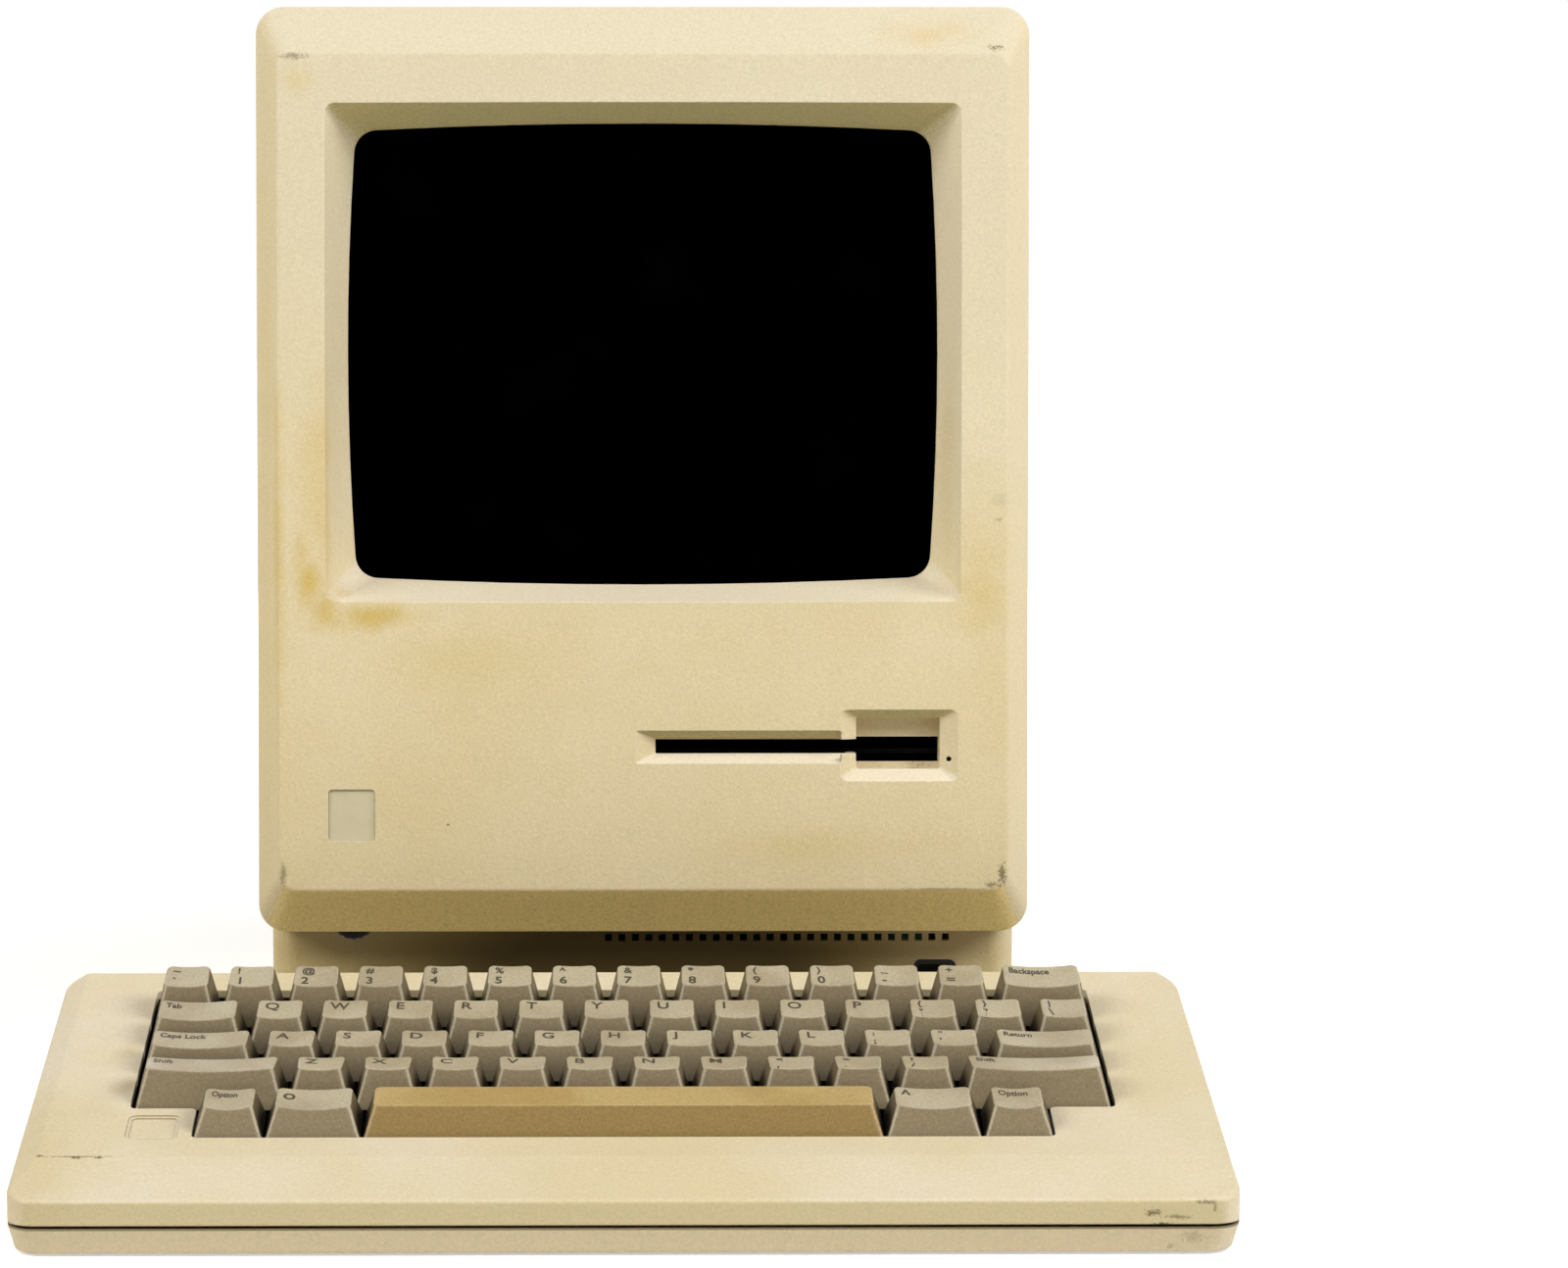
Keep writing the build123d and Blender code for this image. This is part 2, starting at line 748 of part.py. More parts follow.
def rear_upper(inset):
    """The rear case above the step, tapering to its chamfered back."""
    def section(y, half, z0, z1, r):
        mid = (computer_x, face_y + y, (z0 + z1) / 2)
        plane = Plane(origin=mid, x_dir=(1, 0, 0), z_dir=(0, -1, 0))
        return plane * RectangleRounded(2 * half, z1 - z0, r)

    shoulder = computer_depth - rear_chamfer
    back = computer_depth - inset
    r = rim_r - inset / 2
    z0 = step_z + inset
    shoulder_half = case_half - rear_taper - inset
    main = loft([
        section(base_setback, case_half - inset, z0, case_top(base_setback) - inset, r),
        section(shoulder, shoulder_half, z0, case_top(shoulder) - inset, r)], ruled=True)
    rear = loft([
        section(shoulder, shoulder_half, z0, case_top(shoulder) - inset, r),
        section(back, shoulder_half - rear_chamfer, z0, case_top(back) - inset - rear_chamfer, r)],
        ruled=True)
    return main + rear


def handle_pocket(wall):
    """The hand hold in the top, with a lip to curl the fingers under."""
    mouth = inside(-handle_half - wall, handle_half + wall, handle_y0 - wall, handle_y1 + wall,
                   case_top(handle_y1) - handle_deep - wall, BIG)
    under = inside(-handle_half - wall, handle_half + wall, handle_y0 - handle_under - wall, handle_y1,
                   case_top(handle_y1) - handle_deep - wall,
                   case_top(handle_y1) - handle_deep + handle_mouth_h + wall)
    return mouth + under


def battery_pocket(wall):
    depth = battery_d + wall
    return inside(rear_x - battery_w / 2 - wall, rear_x + battery_w / 2 + wall,
                  computer_depth - depth, computer_depth,
                  battery_z - battery_h / 2 - wall, battery_z + battery_h / 2 + wall)


def port_pocket(wall):
    return inside(-port_half - wall, port_half + wall,
                  computer_depth - port_recess - wall, computer_depth,
                  port_z0 - wall, port_z1 + wall)


def rear_windows():
    """Openings in the rear wall for inlet, switch and ports."""
    y0 = computer_depth - 2 * port_recess
    cuts = inside(rear_x - inlet_w / 2 - FIT, rear_x + inlet_w / 2 + FIT, y0, computer_depth,
                  inlet_z - inlet_h / 2 - FIT, inlet_z + inlet_h / 2 + FIT)
    cuts += inside(rear_x - switch_w / 2 - FIT, rear_x + switch_w / 2 + FIT, y0, computer_depth,
                   switch_z - switch_h / 2 - FIT, switch_z + switch_h / 2 + FIT)
    for x, width in ports:
        cuts += inside(x - width / 2 - FIT, x + width / 2 + FIT, y0, computer_depth,
                       port_z - FIT, port_z + port_shell + FIT)
    jack = (computer_x + audio_x, face_y + y0, port_z + audio_r)
    cuts += rod(audio_r + FIT, jack, (jack[0], rear_y, jack[2]))
    return cuts


def side_vents():
    """Slots low and high in both sides."""
    slots = []
    for side in (-1, 1):
        for i in range(side_vent_n):
            y = side_vent_y0 + i * side_vent_step
            x0, x1 = sorted((side * (case_half + WALL), side * (case_half - 5 * WALL)))
            for z0, z1 in ((low_vent_z0, low_vent_z1), (high_vent_z0, high_vent_z1)):
                slots.append(inside(x0, x1, y, y + side_vent_w, z0, z1))
    return slots


def rear_screw_places():
    """Heads of the case screws: two low and two high on the rear wall."""
    high = case_top(computer_depth) - rear_chamfer - 2 * rear_boss_r
    places = []
    for x in (-rear_screw_x, rear_screw_x):
        places.append((x, rear_screw_z))
        places.append((x, high))
    return places


def logic_post_places():
    """Posts that carry the logic board and, on it, the chassis."""
    return [(x, y) for x in (-logic_half + logic_post_side, logic_half - logic_post_side)
            for y in (logic_y0 + logic_post_front, logic_y1 - logic_post_back)]


def rear_case():
    outer = rear_upper(0) + base_body(0)
    hollow = rear_upper(WALL) + base_body(WALL)
    base_roof = block(-BIG, BIG, base_y, BIG, foot_h + WALL, step_z + 2 * WALL)
    hollow += base_body(WALL) & base_roof
    case = outer - hollow
    case += handle_pocket(WALL) & outer
    case -= handle_pocket(0)
    case += battery_pocket(WALL) & outer
    case -= battery_pocket(0)
    case += port_pocket(WALL) & outer
    case -= port_pocket(0)
    for x, y in logic_post_places():
        case += rod(logic_post_r, (computer_x + x, face_y + y, foot_h + WALL / 2),
                    (computer_x + x, face_y + y, logic_z))
    for x, z in rear_screw_places():
        y0 = rear_y - WALL - rear_boss_len
        case += rod(rear_boss_r, (computer_x + x, y0, z), (computer_x + x, rear_y - 1, z))
    for x, z in rear_screw_places():
        case -= screw_room(x, z)
    case -= rear_windows()
    case -= side_vents()
    case -= door_hinge_bar(door_pin_r + door_bearing, battery_w / 2 + WALL / 2)
    case -= seam_half_space(seam_gap)
    return case


def screw_room(x, z):
    """Clearance for a case screw's shank and its sunk head."""
    at = computer_x + x
    shank = rod(SCREW_R + FIT, (at, rear_y - BIG / 20, z), (at, rear_y, z))
    head = rod(SCREW_HEAD_R + FIT, (at, rear_y - SCREW_HEAD_H - FIT, z), (at, rear_y, z))
    return shank + head


def case_screws():
    screws = []
    for x, z in rear_screw_places():
        at = computer_x + x
        head_y = rear_y - SCREW_HEAD_H - FIT
        screw = rod(SCREW_HEAD_R, (at, head_y, z), (at, head_y + SCREW_HEAD_H, z))
        screw += rod(SCREW_R, (at, head_y - screw_len, z), (at, head_y, z))
        screw -= block(at - SCREW_HEAD_R, at + SCREW_HEAD_R, head_y + SCREW_HEAD_H / 2,
                       head_y + 2 * SCREW_HEAD_H, z - 0.5, z + 0.5)
        screws.append(screw)
    return screws


def rubber_feet():
    feet = []
    for x in (-base_half + foot_side, base_half - foot_side):
        for y in (bezel_depth + foot_front, computer_depth - foot_back):
            foot = rod(foot_r, (computer_x + x, face_y + y, 0), (computer_x + x, face_y + y, foot_h))
            feet.append(chamfer(foot.edges().group_by(Axis.Z)[0], length=EDGE))
    return feet


# ---------------------------------------------------------------- computer: picture tube
def tube_form(inset, front, end):
    """The bulb from its domed front to the neck, or the vacuum inside it."""
    half_w = tube_half_w - inset
    half_h = tube_half_h - inset
    throat = tube_throat_half - inset
    neck = tube_neck_r - inset
    plate = extrude(face.offset(-tube_skirt) * Pos(0, screen_w)
                    * RectangleRounded(2 * half_w, 2 * half_h, tube_r - inset), tube_skirt)
    dome_r = tube_dome_r - front
    dome = face.location * Pos(0, screen_w, -tube_apex - front - dome_r) * Sphere(dome_r)
    wide = face.offset(-tube_skirt) * Pos(0, screen_w) * RectangleRounded(
        2 * half_w, 2 * half_h, tube_r - inset)
    narrow = face.offset(-tube_throat) * Pos(0, screen_w) * RectangleRounded(
        2 * throat, 2 * throat, throat - 0.1)
    tail = extrude(face.offset(-end) * Pos(0, screen_w) * Circle(neck), end - tube_throat + FIT)
    return (plate & dome) + loft([wide, narrow], ruled=True) + tail


def crt_tube():
    glass = tube_form(0, 0, tube_len)
    return glass - tube_form(tube_glass, tube_face_t, tube_len + 1)


def crt_band():
    """Steel tension band round the tube, with an ear at each corner."""
    outline = face.offset(-tube_band_d - band_len) * Pos(0, screen_w)
    band = extrude(outline * RectangleRounded(
        2 * (tube_half_w + band_t), 2 * (tube_half_h + band_t), tube_r + band_t), band_len)
    for sx in (-1, 1):
        for sw in (-1, 1):
            x = sx * (ear_x - ear_size / 4)
            w = screen_w + sw * (ear_h - ear_size / 4)
            band += on_face(x - ear_size / 2, x + ear_size / 2, w - ear_size / 2, w + ear_size / 2,
                            tube_band_d, tube_band_d + ear_t)
    for sx in (-1, 1):
        for sw in (-1, 1):
            band -= face.location * Pos(sx * ear_x, screen_w + sw * ear_h, -tube_band_d) * Cylinder(
                SCREW_R + FIT, 3 * ear_t)
    return band - extrude(outline * RectangleRounded(
        2 * (tube_half_w + FIT), 2 * (tube_half_h + FIT), tube_r + FIT), band_len)


def crt_screws():
    screws = []
    for sx in (-1, 1):
        for sw in (-1, 1):
            spot = face.location * Pos(sx * ear_x, screen_w + sw * ear_h, -tube_band_d - ear_t)
            head = spot * Pos(0, 0, -SCREW_HEAD_H / 2) * Cylinder(SCREW_HEAD_R, SCREW_HEAD_H)
            shank = spot * Pos(0, 0, ear_t / 2) * Cylinder(SCREW_R, ear_t)
            screws.append(head + shank)
    return screws


def deflection_yoke():
    centre = Pos(0, screen_w)
    front = extrude(face.offset(-tube_throat - yoke_flange) * centre * Circle(yoke_front_r), yoke_flange)
    rear = extrude(face.offset(-tube_throat - yoke_len) * centre * Circle(yoke_rear_r), yoke_len)
    bore = extrude(face.offset(-tube_throat - yoke_len) * centre * Circle(tube_neck_r + GAP), yoke_len)
    return front + rear - bore


def crt_neck_board():
    centre = face.location * Pos(0, screen_w, -tube_len)
    socket = centre * Pos(0, 0, -neck_socket_len / 2) * Cylinder(neck_socket_r, neck_socket_len)
    board = centre * Pos(0, 0, -neck_socket_len - BOARD / 2) * Box(neck_board_size, neck_board_size, BOARD)
    return socket + board


# ---------------------------------------------------------------- computer: inside
def chassis_frame():
    """Bent sheet: a tray over the logic board, an upright and the drive's bridge."""
    front = base_setback + WALL
    tray = inside(-tray_half, tray_half, front, tray_back, tray_z, tray_z + SHEET)
    tray += inside(-tray_half, tray_half, front, front + SHEET, tray_z - 4 * WALL, tray_z)
    knob_side = pot_r + 2 * GAP
    tray -= inside(knob_x - knob_side, knob_x + knob_side, front, front + pot_len + 2 * GAP,
                   tray_z - 5 * WALL, tray_z + 2 * SHEET)
    tray -= inside(vent_x0 - WALL, vent_x1 + WALL, front, front + SHEET,
                   vent_z - vent_size, vent_z + vent_size)
    upright = inside(upright_x, upright_x + SHEET, upright_y0, upright_y1, tray_z, upright_top)
    shelf_y0 = bezel_depth + WALL
    shelf = inside(drive_x0, drive_x1, shelf_y0, drive_y1, drive_z0 - SHEET, drive_z0)
    legs = inside(drive_x0, drive_x0 + SHEET, shelf_y0, drive_y1, tray_z, drive_z0)
    legs += inside(drive_x1 - SHEET, drive_x1, shelf_y0, drive_y1, tray_z, drive_z0)
    frame = tray + upright + shelf + legs
    foot = tray_z - logic_z - BOARD
    for x, y in logic_post_places():
        frame += Pos(computer_x + x, face_y + y, logic_z + BOARD + foot / 2) * Cylinder(tray_foot_r, foot)
    frame -= rod(spindle_shaft_r + 1, (computer_x + drive_mid(), face_y + spindle_y, tray_z + 2 * SHEET),
                 (computer_x + drive_mid(), face_y + spindle_y, drive_z0 + SHEET))
    return frame


def drive_mid():
    return (drive_x0 + drive_x1) / 2


def analog_board():
    """Power and deflection board, stood off the upright, with its larger parts."""
    x0 = upright_x + SHEET + analog_gap
    board = inside(x0, x0 + BOARD, analog_y0, analog_y1, analog_z0, analog_z1)
    for y in (analog_y0 + board_post_in, analog_y1 - board_post_in):
        for z in (analog_z0 + board_post_in, analog_z1 - board_post_in):
            start = (computer_x + upright_x + SHEET, face_y + y, z)
            board += rod(WALL, start, (computer_x + x0, face_y + y, z))
    for along, up, r, length in capacitors:
        y = face_y + analog_y0 + along
        z = analog_z0 + up
        board += rod(r, (computer_x + x0, y, z), (computer_x + x0 + BOARD + length, y, z))
    board += inside(x0, x0 + sink_x, analog_y1 - sink_in, analog_y1 - sink_in + sink_t, sink_z0, sink_z1)
    return board


def flyback_transformer():
    x0 = upright_x + SHEET + analog_gap + BOARD
    y0 = flyback_at_y - flyback_y / 2
    z0 = flyback_at_z - flyback_z / 2
    body = inside(x0, x0 + flyback_x, y0, y0 + flyback_y, z0, z0 + flyback_z)
    at = (computer_x + x0 + flyback_x / 2, face_y + flyback_at_y, z0 + flyback_z)
    return body + rod(flyback_cap_r, at, (at[0], at[1], at[2] + flyback_cap_h))


def logic_board():
    board = inside(-logic_half, logic_half, logic_y0, logic_y1, logic_z, logic_z + BOARD)
    top = logic_z + BOARD
    for count, first_x, first_y, step, wide, deep, high in chip_rows:
        for i in range(count):
            x = -logic_half + first_x + i * step
            y = logic_y0 + first_y
            board += inside(x, x + wide, y, y + deep, top, top + high)
    return board


def rear_ports():
    """Cord sockets along the logic board's rear edge."""
    z0 = logic_z + BOARD
    y1 = computer_depth - port_recess - WALL - FIT
    bodies = []
    for x, width in ports:
        half = width / 2
        port = inside(x - half - port_body_side, x + half + port_body_side, y1 - port_body, y1,
                      z0, port_z + port_shell + port_body_top)
        port += inside(x - half, x + half, y1, y1 + WALL + port_out, port_z, port_z + port_shell)
        port -= inside(x - half + port_metal, x + half - port_metal, y1 - port_sink, y1 + BIG / 10,
                       port_z + port_metal, port_z + port_shell - port_metal)
        bodies.append(port)
    at = (computer_x + audio_x, face_y + y1, port_z + audio_r)
    jack = inside(audio_x - audio_half, audio_x + audio_half, y1 - port_body, y1,
                  z0, port_z + 2 * audio_r + port_body_top)
    jack += rod(audio_r, at, (at[0], at[1] + WALL + FIT, at[2]))
    jack -= rod(audio_r / 2, (at[0], at[1] - audio_deep, at[2]), (at[0], at[1] + 2 * WALL, at[2]))
    bodies.append(jack)
    return bodies


def speaker():
    def disc(r, d0, d1):
        return face.location * Pos(speaker_x, speaker_w, -(d0 + d1) / 2) * Cylinder(r, d1 - d0)

    basket = disc(speaker_r, WALL, WALL + speaker_rim)
    centre = Pos(speaker_x, speaker_w)
    cone_far = face.offset(-WALL - speaker_cone_d) * centre * Circle(speaker_magnet_r - speaker_rim)
    cone_near = face.offset(-WALL - speaker_rim) * centre * Circle(speaker_r - speaker_rim)
    return basket + loft([cone_near, cone_far], ruled=True) + disc(
        speaker_magnet_r, WALL + speaker_cone_d, WALL + speaker_d)


# ---------------------------------------------------------------- computer: disk drive
def drive_chassis():
    """Folded metal box, open at the front and rear, with the head's rails."""
    shell = inside(drive_x0, drive_x1, drive_y0, drive_y1, drive_z0, drive_z1)
    shell -= inside(drive_x0 + SHEET, drive_x1 - SHEET, drive_y0 - 1, drive_y1 + 1,
                    drive_z0 + SHEET, drive_z1 - SHEET)
    mid = computer_x + drive_mid()
    shell -= rod(spindle_shaft_r + spindle_bearing, (mid, face_y + spindle_y, drive_z0 - 1),
                 (mid, face_y + spindle_y, drive_z0 + 2 * SHEET))
    rail_z = drive_floor + GAP + head_h / 2
    tab_half = rail_x + rail_tab_side
    for y in (rail_y0, rail_y1 - rail_tab_t):
        shell += inside(drive_mid() - tab_half, drive_mid() + tab_half, y, y + rail_tab_t,
                        drive_z0 + SHEET / 2, rail_z + rail_r + 1)
    for side in (-1, 1):
        x = mid + side * rail_x
        shell += rod(rail_r, (x, face_y + rail_y0, rail_z), (x, face_y + rail_y1, rail_z))
    return shell


def disk_holder():
    """The sleeve that takes the disk and lowers it onto the spindle."""
    x0 = drive_x0 + SHEET + holder_side
    x1 = drive_x1 - SHEET - holder_side
    sleeve = inside(x0, x1, holder_y0, holder_y1, holder_z0, holder_z1)
    sleeve -= inside(x0 + holder_w, x1 - holder_w, holder_y0 - 1, holder_y1 - holder_w,
                     holder_z0 + holder_w, holder_z1 - holder_w)
    sleeve -= inside(drive_mid() - holder_window_x, drive_mid() + holder_window_x,
                     spindle_y - holder_window_y, spindle_y + holder_window_y,
                     holder_z0 - 1, holder_z0 + 2 * holder_w)
    z = (holder_z0 + holder_z1) / 2
    for x, side in ((x0, -1), (x1, 1)):
        for y in (holder_y0 + holder_pin_in, holder_y1 - holder_pin_in):
            start = (computer_x + x - side, face_y + y, z)
            end = (computer_x + x + side * (holder_side - GAP), face_y + y, z)
            sleeve += rod(holder_pin_r, start, end)
    return sleeve


def drive_spindle():
    x = computer_x + drive_mid()
    y = face_y + spindle_y
    disc = rod(spindle_r, (x, y, drive_floor + GAP), (x, y, spindle_top))
    disc += rod(hub_r, (x, y, drive_floor + GAP), (x, y, spindle_top + hub_h))
    return disc + rod(spindle_shaft_r, (x, y, drive_z0 - SHEET), (x, y, drive_floor + spindle_shaft_up))


def head_carriage():
    """The read head's block, which slides on two rails."""
    z0 = drive_floor + GAP
    mid = drive_mid()
    body = inside(mid - head_w / 2, mid + head_w / 2, head_y, head_y + head_len, z0, z0 + head_h)
    body += inside(mid - head_arm_half, mid + head_arm_half, head_y - head_arm, head_y,
                   z0 + head_h / 2, z0 + head_h)
    for side in (-1, 1):
        x = computer_x + mid + side * rail_x
        z = z0 + head_h / 2
        body -= rod(rail_r + GAP, (x, face_y + head_y - 1, z), (x, face_y + head_y + head_len + 1, z))
    return body


# ---------------------------------------------------------------- computer: rear column
def power_inlet():
    y1 = computer_depth - FIT
    body = inside(rear_x - inlet_w / 2, rear_x + inlet_w / 2, y1 - inlet_d, y1,
                  inlet_z - inlet_h / 2, inlet_z + inlet_h / 2)
    flange_x = inlet_w / 2 + panel_flange
    flange_z = inlet_h / 2 + panel_flange
    body += inside(rear_x - flange_x, rear_x + flange_x, y1 - inlet_d,
                   computer_depth - WALL, inlet_z - flange_z, inlet_z + flange_z)
    body -= inside(rear_x - inlet_hole_w / 2, rear_x + inlet_hole_w / 2, y1 - inlet_hole_d,
                   computer_depth + 1, inlet_z - inlet_hole_h / 2, inlet_z + inlet_hole_h / 2)
    for i, dz in ((-1, -inlet_pin_dz), (0, inlet_pin_dz), (1, -inlet_pin_dz)):
        x = rear_x + i * inlet_pin_step
        body += inside(x - inlet_pin_w / 2, x + inlet_pin_w / 2, y1 - inlet_hole_d - 1, y1 - inlet_pin_in,
                       inlet_z + dz - inlet_pin_h / 2, inlet_z + dz + inlet_pin_h / 2)
    return body


def rocker_pivot_y():
    return computer_depth - rocker_proud


def power_switch():
    """The switch's frame, with the rocker's pivot across it."""
    y1 = computer_depth - FIT
    body = inside(rear_x - switch_w / 2, rear_x + switch_w / 2, y1 - switch_d, y1,
                  switch_z - switch_h / 2, switch_z + switch_h / 2)
    flange_x = switch_w / 2 + panel_flange
    flange_z = switch_h / 2 + panel_flange
    body += inside(rear_x - flange_x, rear_x + flange_x, y1 - switch_d,
                   computer_depth - WALL, switch_z - flange_z, switch_z + flange_z)
    room = rocker_h / 2 + 2 * GAP
    body -= inside(rear_x - rocker_w / 2 - GAP, rear_x + rocker_w / 2 + GAP,
                   y1 - 2 * rocker_deep, computer_depth + 1, switch_z - room, switch_z + room)
    y = face_y + rocker_pivot_y() - rocker_deep / 2
    body += rod(rocker_pin_r, (computer_x + rear_x - rocker_w / 2 - 1, y, switch_z),
                (computer_x + rear_x + rocker_w / 2 + 1, y, switch_z))
    return body


def power_rocker():
    """Stored switched off: its upper half stands out."""
    side = Plane(origin=(computer_x + rear_x, face_y + rocker_pivot_y() - rocker_deep / 2, switch_z),
                 x_dir=(0, 1, 0), z_dir=(1, 0, 0))
    half = rocker_h / 2
    rise = half * math.tan(math.radians(rocker_angle))
    top = rocker_deep / 2
    outline = make_face(Polyline(
        (top, 0), (top + rise, half - rocker_edge), (top + rise - rocker_edge, half),
        (-top / 2, half), (-top, half / 3), (-top, -half / 3), (-top / 2, -half),
        (top + rise - rocker_edge, -half), (top + rise, -half + rocker_edge), (top, 0)))
    rocker = extrude(side * outline, rocker_w / 2, both=True)
    rocker -= extrude(side * Circle(rocker_pin_r + rocker_bearing), rocker_w, both=True)
    pivot = Axis(side.origin, (1, 0, 0))
    return rocker.rotate(pivot, -rocker_angle)


def door_top_z():
    return battery_z + battery_h / 2 - door_pin_r - 2 * GAP


def door_hinge_bar(r, half):
    x = computer_x + rear_x
    y = rear_y - door_t / 2 - FIT
    return rod(r, (x - half, y, door_top_z()), (x + half, y, door_top_z()))


def battery_door():
    """Cover of the battery compartment, hinged along its top edge."""
    half = battery_w / 2 - GAP
    low = battery_z - battery_h / 2 + GAP
    door = inside(rear_x - half, rear_x + half, computer_depth - door_t - FIT, computer_depth - FIT,
                  low, door_top_z())
    door += door_hinge_bar(door_t / 2, half)
    door += door_hinge_bar(door_pin_r, battery_w / 2 + WALL / 2 - GAP)
    return door - inside(rear_x - door_notch_half, rear_x + door_notch_half,
                         computer_depth - door_t / 2 - FIT, computer_depth, low - 1, low + door_notch_h)


def battery():
    z = battery_z - battery_h / 2 + battery_r
    y = rear_y - battery_d + battery_r
    x = computer_x + rear_x
    end = x + battery_len / 2
    cell = rod(battery_r, (x - battery_len / 2, y, z), (end, y, z))
    return cell + rod(battery_r / 3, (end, y, z), (end + battery_end, y, z))


# ---------------------------------------------------------------- keyboard: case
def deck_height(y):
    """Height of the deck's plane at a distance behind the keyboard's front."""
    return kb_crease_z + (y - kb_crease_y) * math.tan(math.radians(kb_deck_tilt))


def kb_upper(inset):
    """Outer form of the upper shell, or its hollow when inset by the wall."""
    width = kb_width - 2 * inset
    depth = kb_depth - 2 * inset
    middle = (0, front_y + kb_depth / 2)
    plan = Pos(*middle) * RectangleRounded(width, depth, kb_corner_r - inset)
    body = extrude(Pos(0, 0, kb_seam_z + kb_seam_gap) * plan, 2 * kb_depth)
    crease_in = inset * math.tan(math.radians(kb_deck_tilt) / 2)
    side = Plane(origin=(0, front_y, 0), x_dir=(0, 1, 0), z_dir=(1, 0, 0))
    profile = make_face(Polyline(
        (0, 0), (0, kb_front_z - inset), (kb_crease_y - crease_in, kb_crease_z - inset),
        (kb_depth, deck_height(kb_depth) - inset), (kb_depth, 0), (0, 0)))
    body &= extrude(side * profile, kb_width, both=True)
    bevel = math.degrees(math.atan2(kb_side_drop, kb_side_bevel))
    for turn in (-1, 1):
        edge = deck.location * Pos(turn * (kb_width / 2 - kb_side_bevel), 0, -inset)
        wedge = edge * Rot(0, turn * bevel, 0) * Pos(turn * BIG / 2, 0, BIG / 2) * Box(BIG, BIG, BIG)
        body -= wedge
    return body


def well():
    """Outline of the opening for the keys, stepped in at its front row."""
    half = board_units / 2 * pitch + key_clear
    front_half = half - well_step
    w0 = key_row_front
    w1 = w0 + pitch
    w2 = well_rear
    outline = make_face(Polyline(
        (-front_half, w0), (front_half, w0), (front_half, w1), (half, w1), (half, w2),
        (-half, w2), (-half, w1), (-front_half, w1), (-front_half, w0)))
    return fillet(outline.vertices(), radius=well_r)


def plate_boss_places():
    """Where the switch plate is screwed under the deck."""
    half = board_units / 2 * pitch + plate_margin
    places = []
    for x in (-half, half):
        for w in (key_row_front + pitch, key_row_front + plate_boss_row * pitch):
            places.append((x, w))
    return places


def deck_recess(inset, depth):
    """One level of the recess in the deck's corner."""
    middle = Pos((recess_left + recess_right) / 2, (recess_w0 + recess_w1) / 2)
    outline = deck.offset(-depth) * middle * RectangleRounded(
        recess_right - recess_left - 2 * inset, recess_w1 - recess_w0 - 2 * inset, recess_corner - inset)
    return extrude(outline, 2 * depth)


def keyboard_top():
    shell = kb_upper(0)
    level = kb_seam_z + 2 * kb_seam_gap
    soft = shell.edges().filter_by(lambda e: abs((e % 0.5).Z) < 0.9 and (e @ 0.5).Z > level)
    shell = fillet(soft, radius=kb_deck_edge_r)
    hollow = kb_upper(kb_wall) + extrude(
        Pos(0, front_y + kb_depth / 2, 0) * RectangleRounded(
            kb_width - 2 * kb_wall, kb_depth - 2 * kb_wall, kb_corner_r - kb_wall),
        kb_seam_z + kb_seam_gap + WALL)
    shell -= hollow
    shell -= extrude(deck.offset(-BIG / 20) * well(), BIG / 10)
    shell -= deck_recess(0, recess_depth / 2)
    shell -= deck_recess(recess_step, recess_depth)
    for x, w in plate_boss_places():
        spot = deck.location * Pos(x, w, (plate_n - kb_wall / 2) / 2)
        shell += spot * Cylinder(2 * SCREW_R, -plate_n - kb_wall / 2)
    for x, w in plate_boss_places():
        shell -= deck.location * Pos(x, w, plate_n) * Cylinder(SCREW_R, 2 * WALL)
    shell -= block(jack_x - jack_w / 2, jack_x + jack_w / 2, front_y + kb_depth - 2 * kb_wall,
                   front_y + kb_depth + 1, kb_jack_z - jack_h / 2, kb_jack_z + jack_h / 2)
    return shell


def keyboard_bottom():
    """The lower shell: a shallow tray that narrows downwards."""
    def tray(inset, floor):
        width = kb_width - 2 * inset
        depth = kb_depth - 2 * inset
        at = Pos(0, front_y + kb_depth / 2, 0)
        top = Pos(0, 0, kb_seam_z) * at * RectangleRounded(width, depth, kb_corner_r - inset)
        low = Pos(0, 0, floor) * at * RectangleRounded(
            width - 2 * kb_under_inset, depth - 2 * kb_under_inset, kb_corner_r - inset)
        return loft([low, top], ruled=True)

    shell = tray(0, kb_bottom_z)
    shell = fillet(shell.edges().group_by(Axis.Z)[0], radius=kb_under_r)
    shell -= tray(kb_wall, kb_bottom_z + kb_wall)
    for x, y in kb_post_places():
        shell += rod(SCREW_HEAD_R + 1, (x, y, kb_bottom_z + kb_wall / 2), (x, y, kb_seam_z + kb_seam_gap))
    shell += block(jack_x - jack_w / 2, jack_x + jack_w / 2, front_y + kb_depth - kb_wall - jack_d,
                   front_y + kb_depth - 2 * kb_wall, kb_bottom_z + kb_wall / 2, kb_jack_z - jack_h / 2)
    tongue = block(-kb_width / 4, kb_width / 4, front_y + kb_wall + FIT, front_y + 2 * kb_wall,
                   kb_bottom_z + kb_wall / 2, kb_seam_z + kb_wall)
    shell += tongue
    shell += Pos(0, kb_depth - 3 * kb_wall - FIT, 0) * tongue
    return shell


def kb_post_places():
    """Posts that carry the upper shell on the lower one, in its four corners."""
    inset = kb_wall + SCREW_HEAD_R + 2
    return [(x, front_y + y) for x in (-kb_width / 2 + inset, kb_width / 2 - inset)
            for y in (inset, kb_depth - inset)]


def keyboard_feet():
    feet = []
    for x in (-kb_width / 2 + kb_foot_side, kb_width / 2 - kb_foot_side):
        for y in (kb_foot_end, kb_depth - kb_foot_end):
            feet.append(rod(kb_foot_r, (x, front_y + y, 0), (x, front_y + y, kb_foot_h)))
    return feet


# ---------------------------------------------------------------- keyboard: keys
def row_middle(row):
    """Distance of a row's middle from the crease, along the deck."""
    return key_row_front + key_clear + (row + 0.5) * pitch


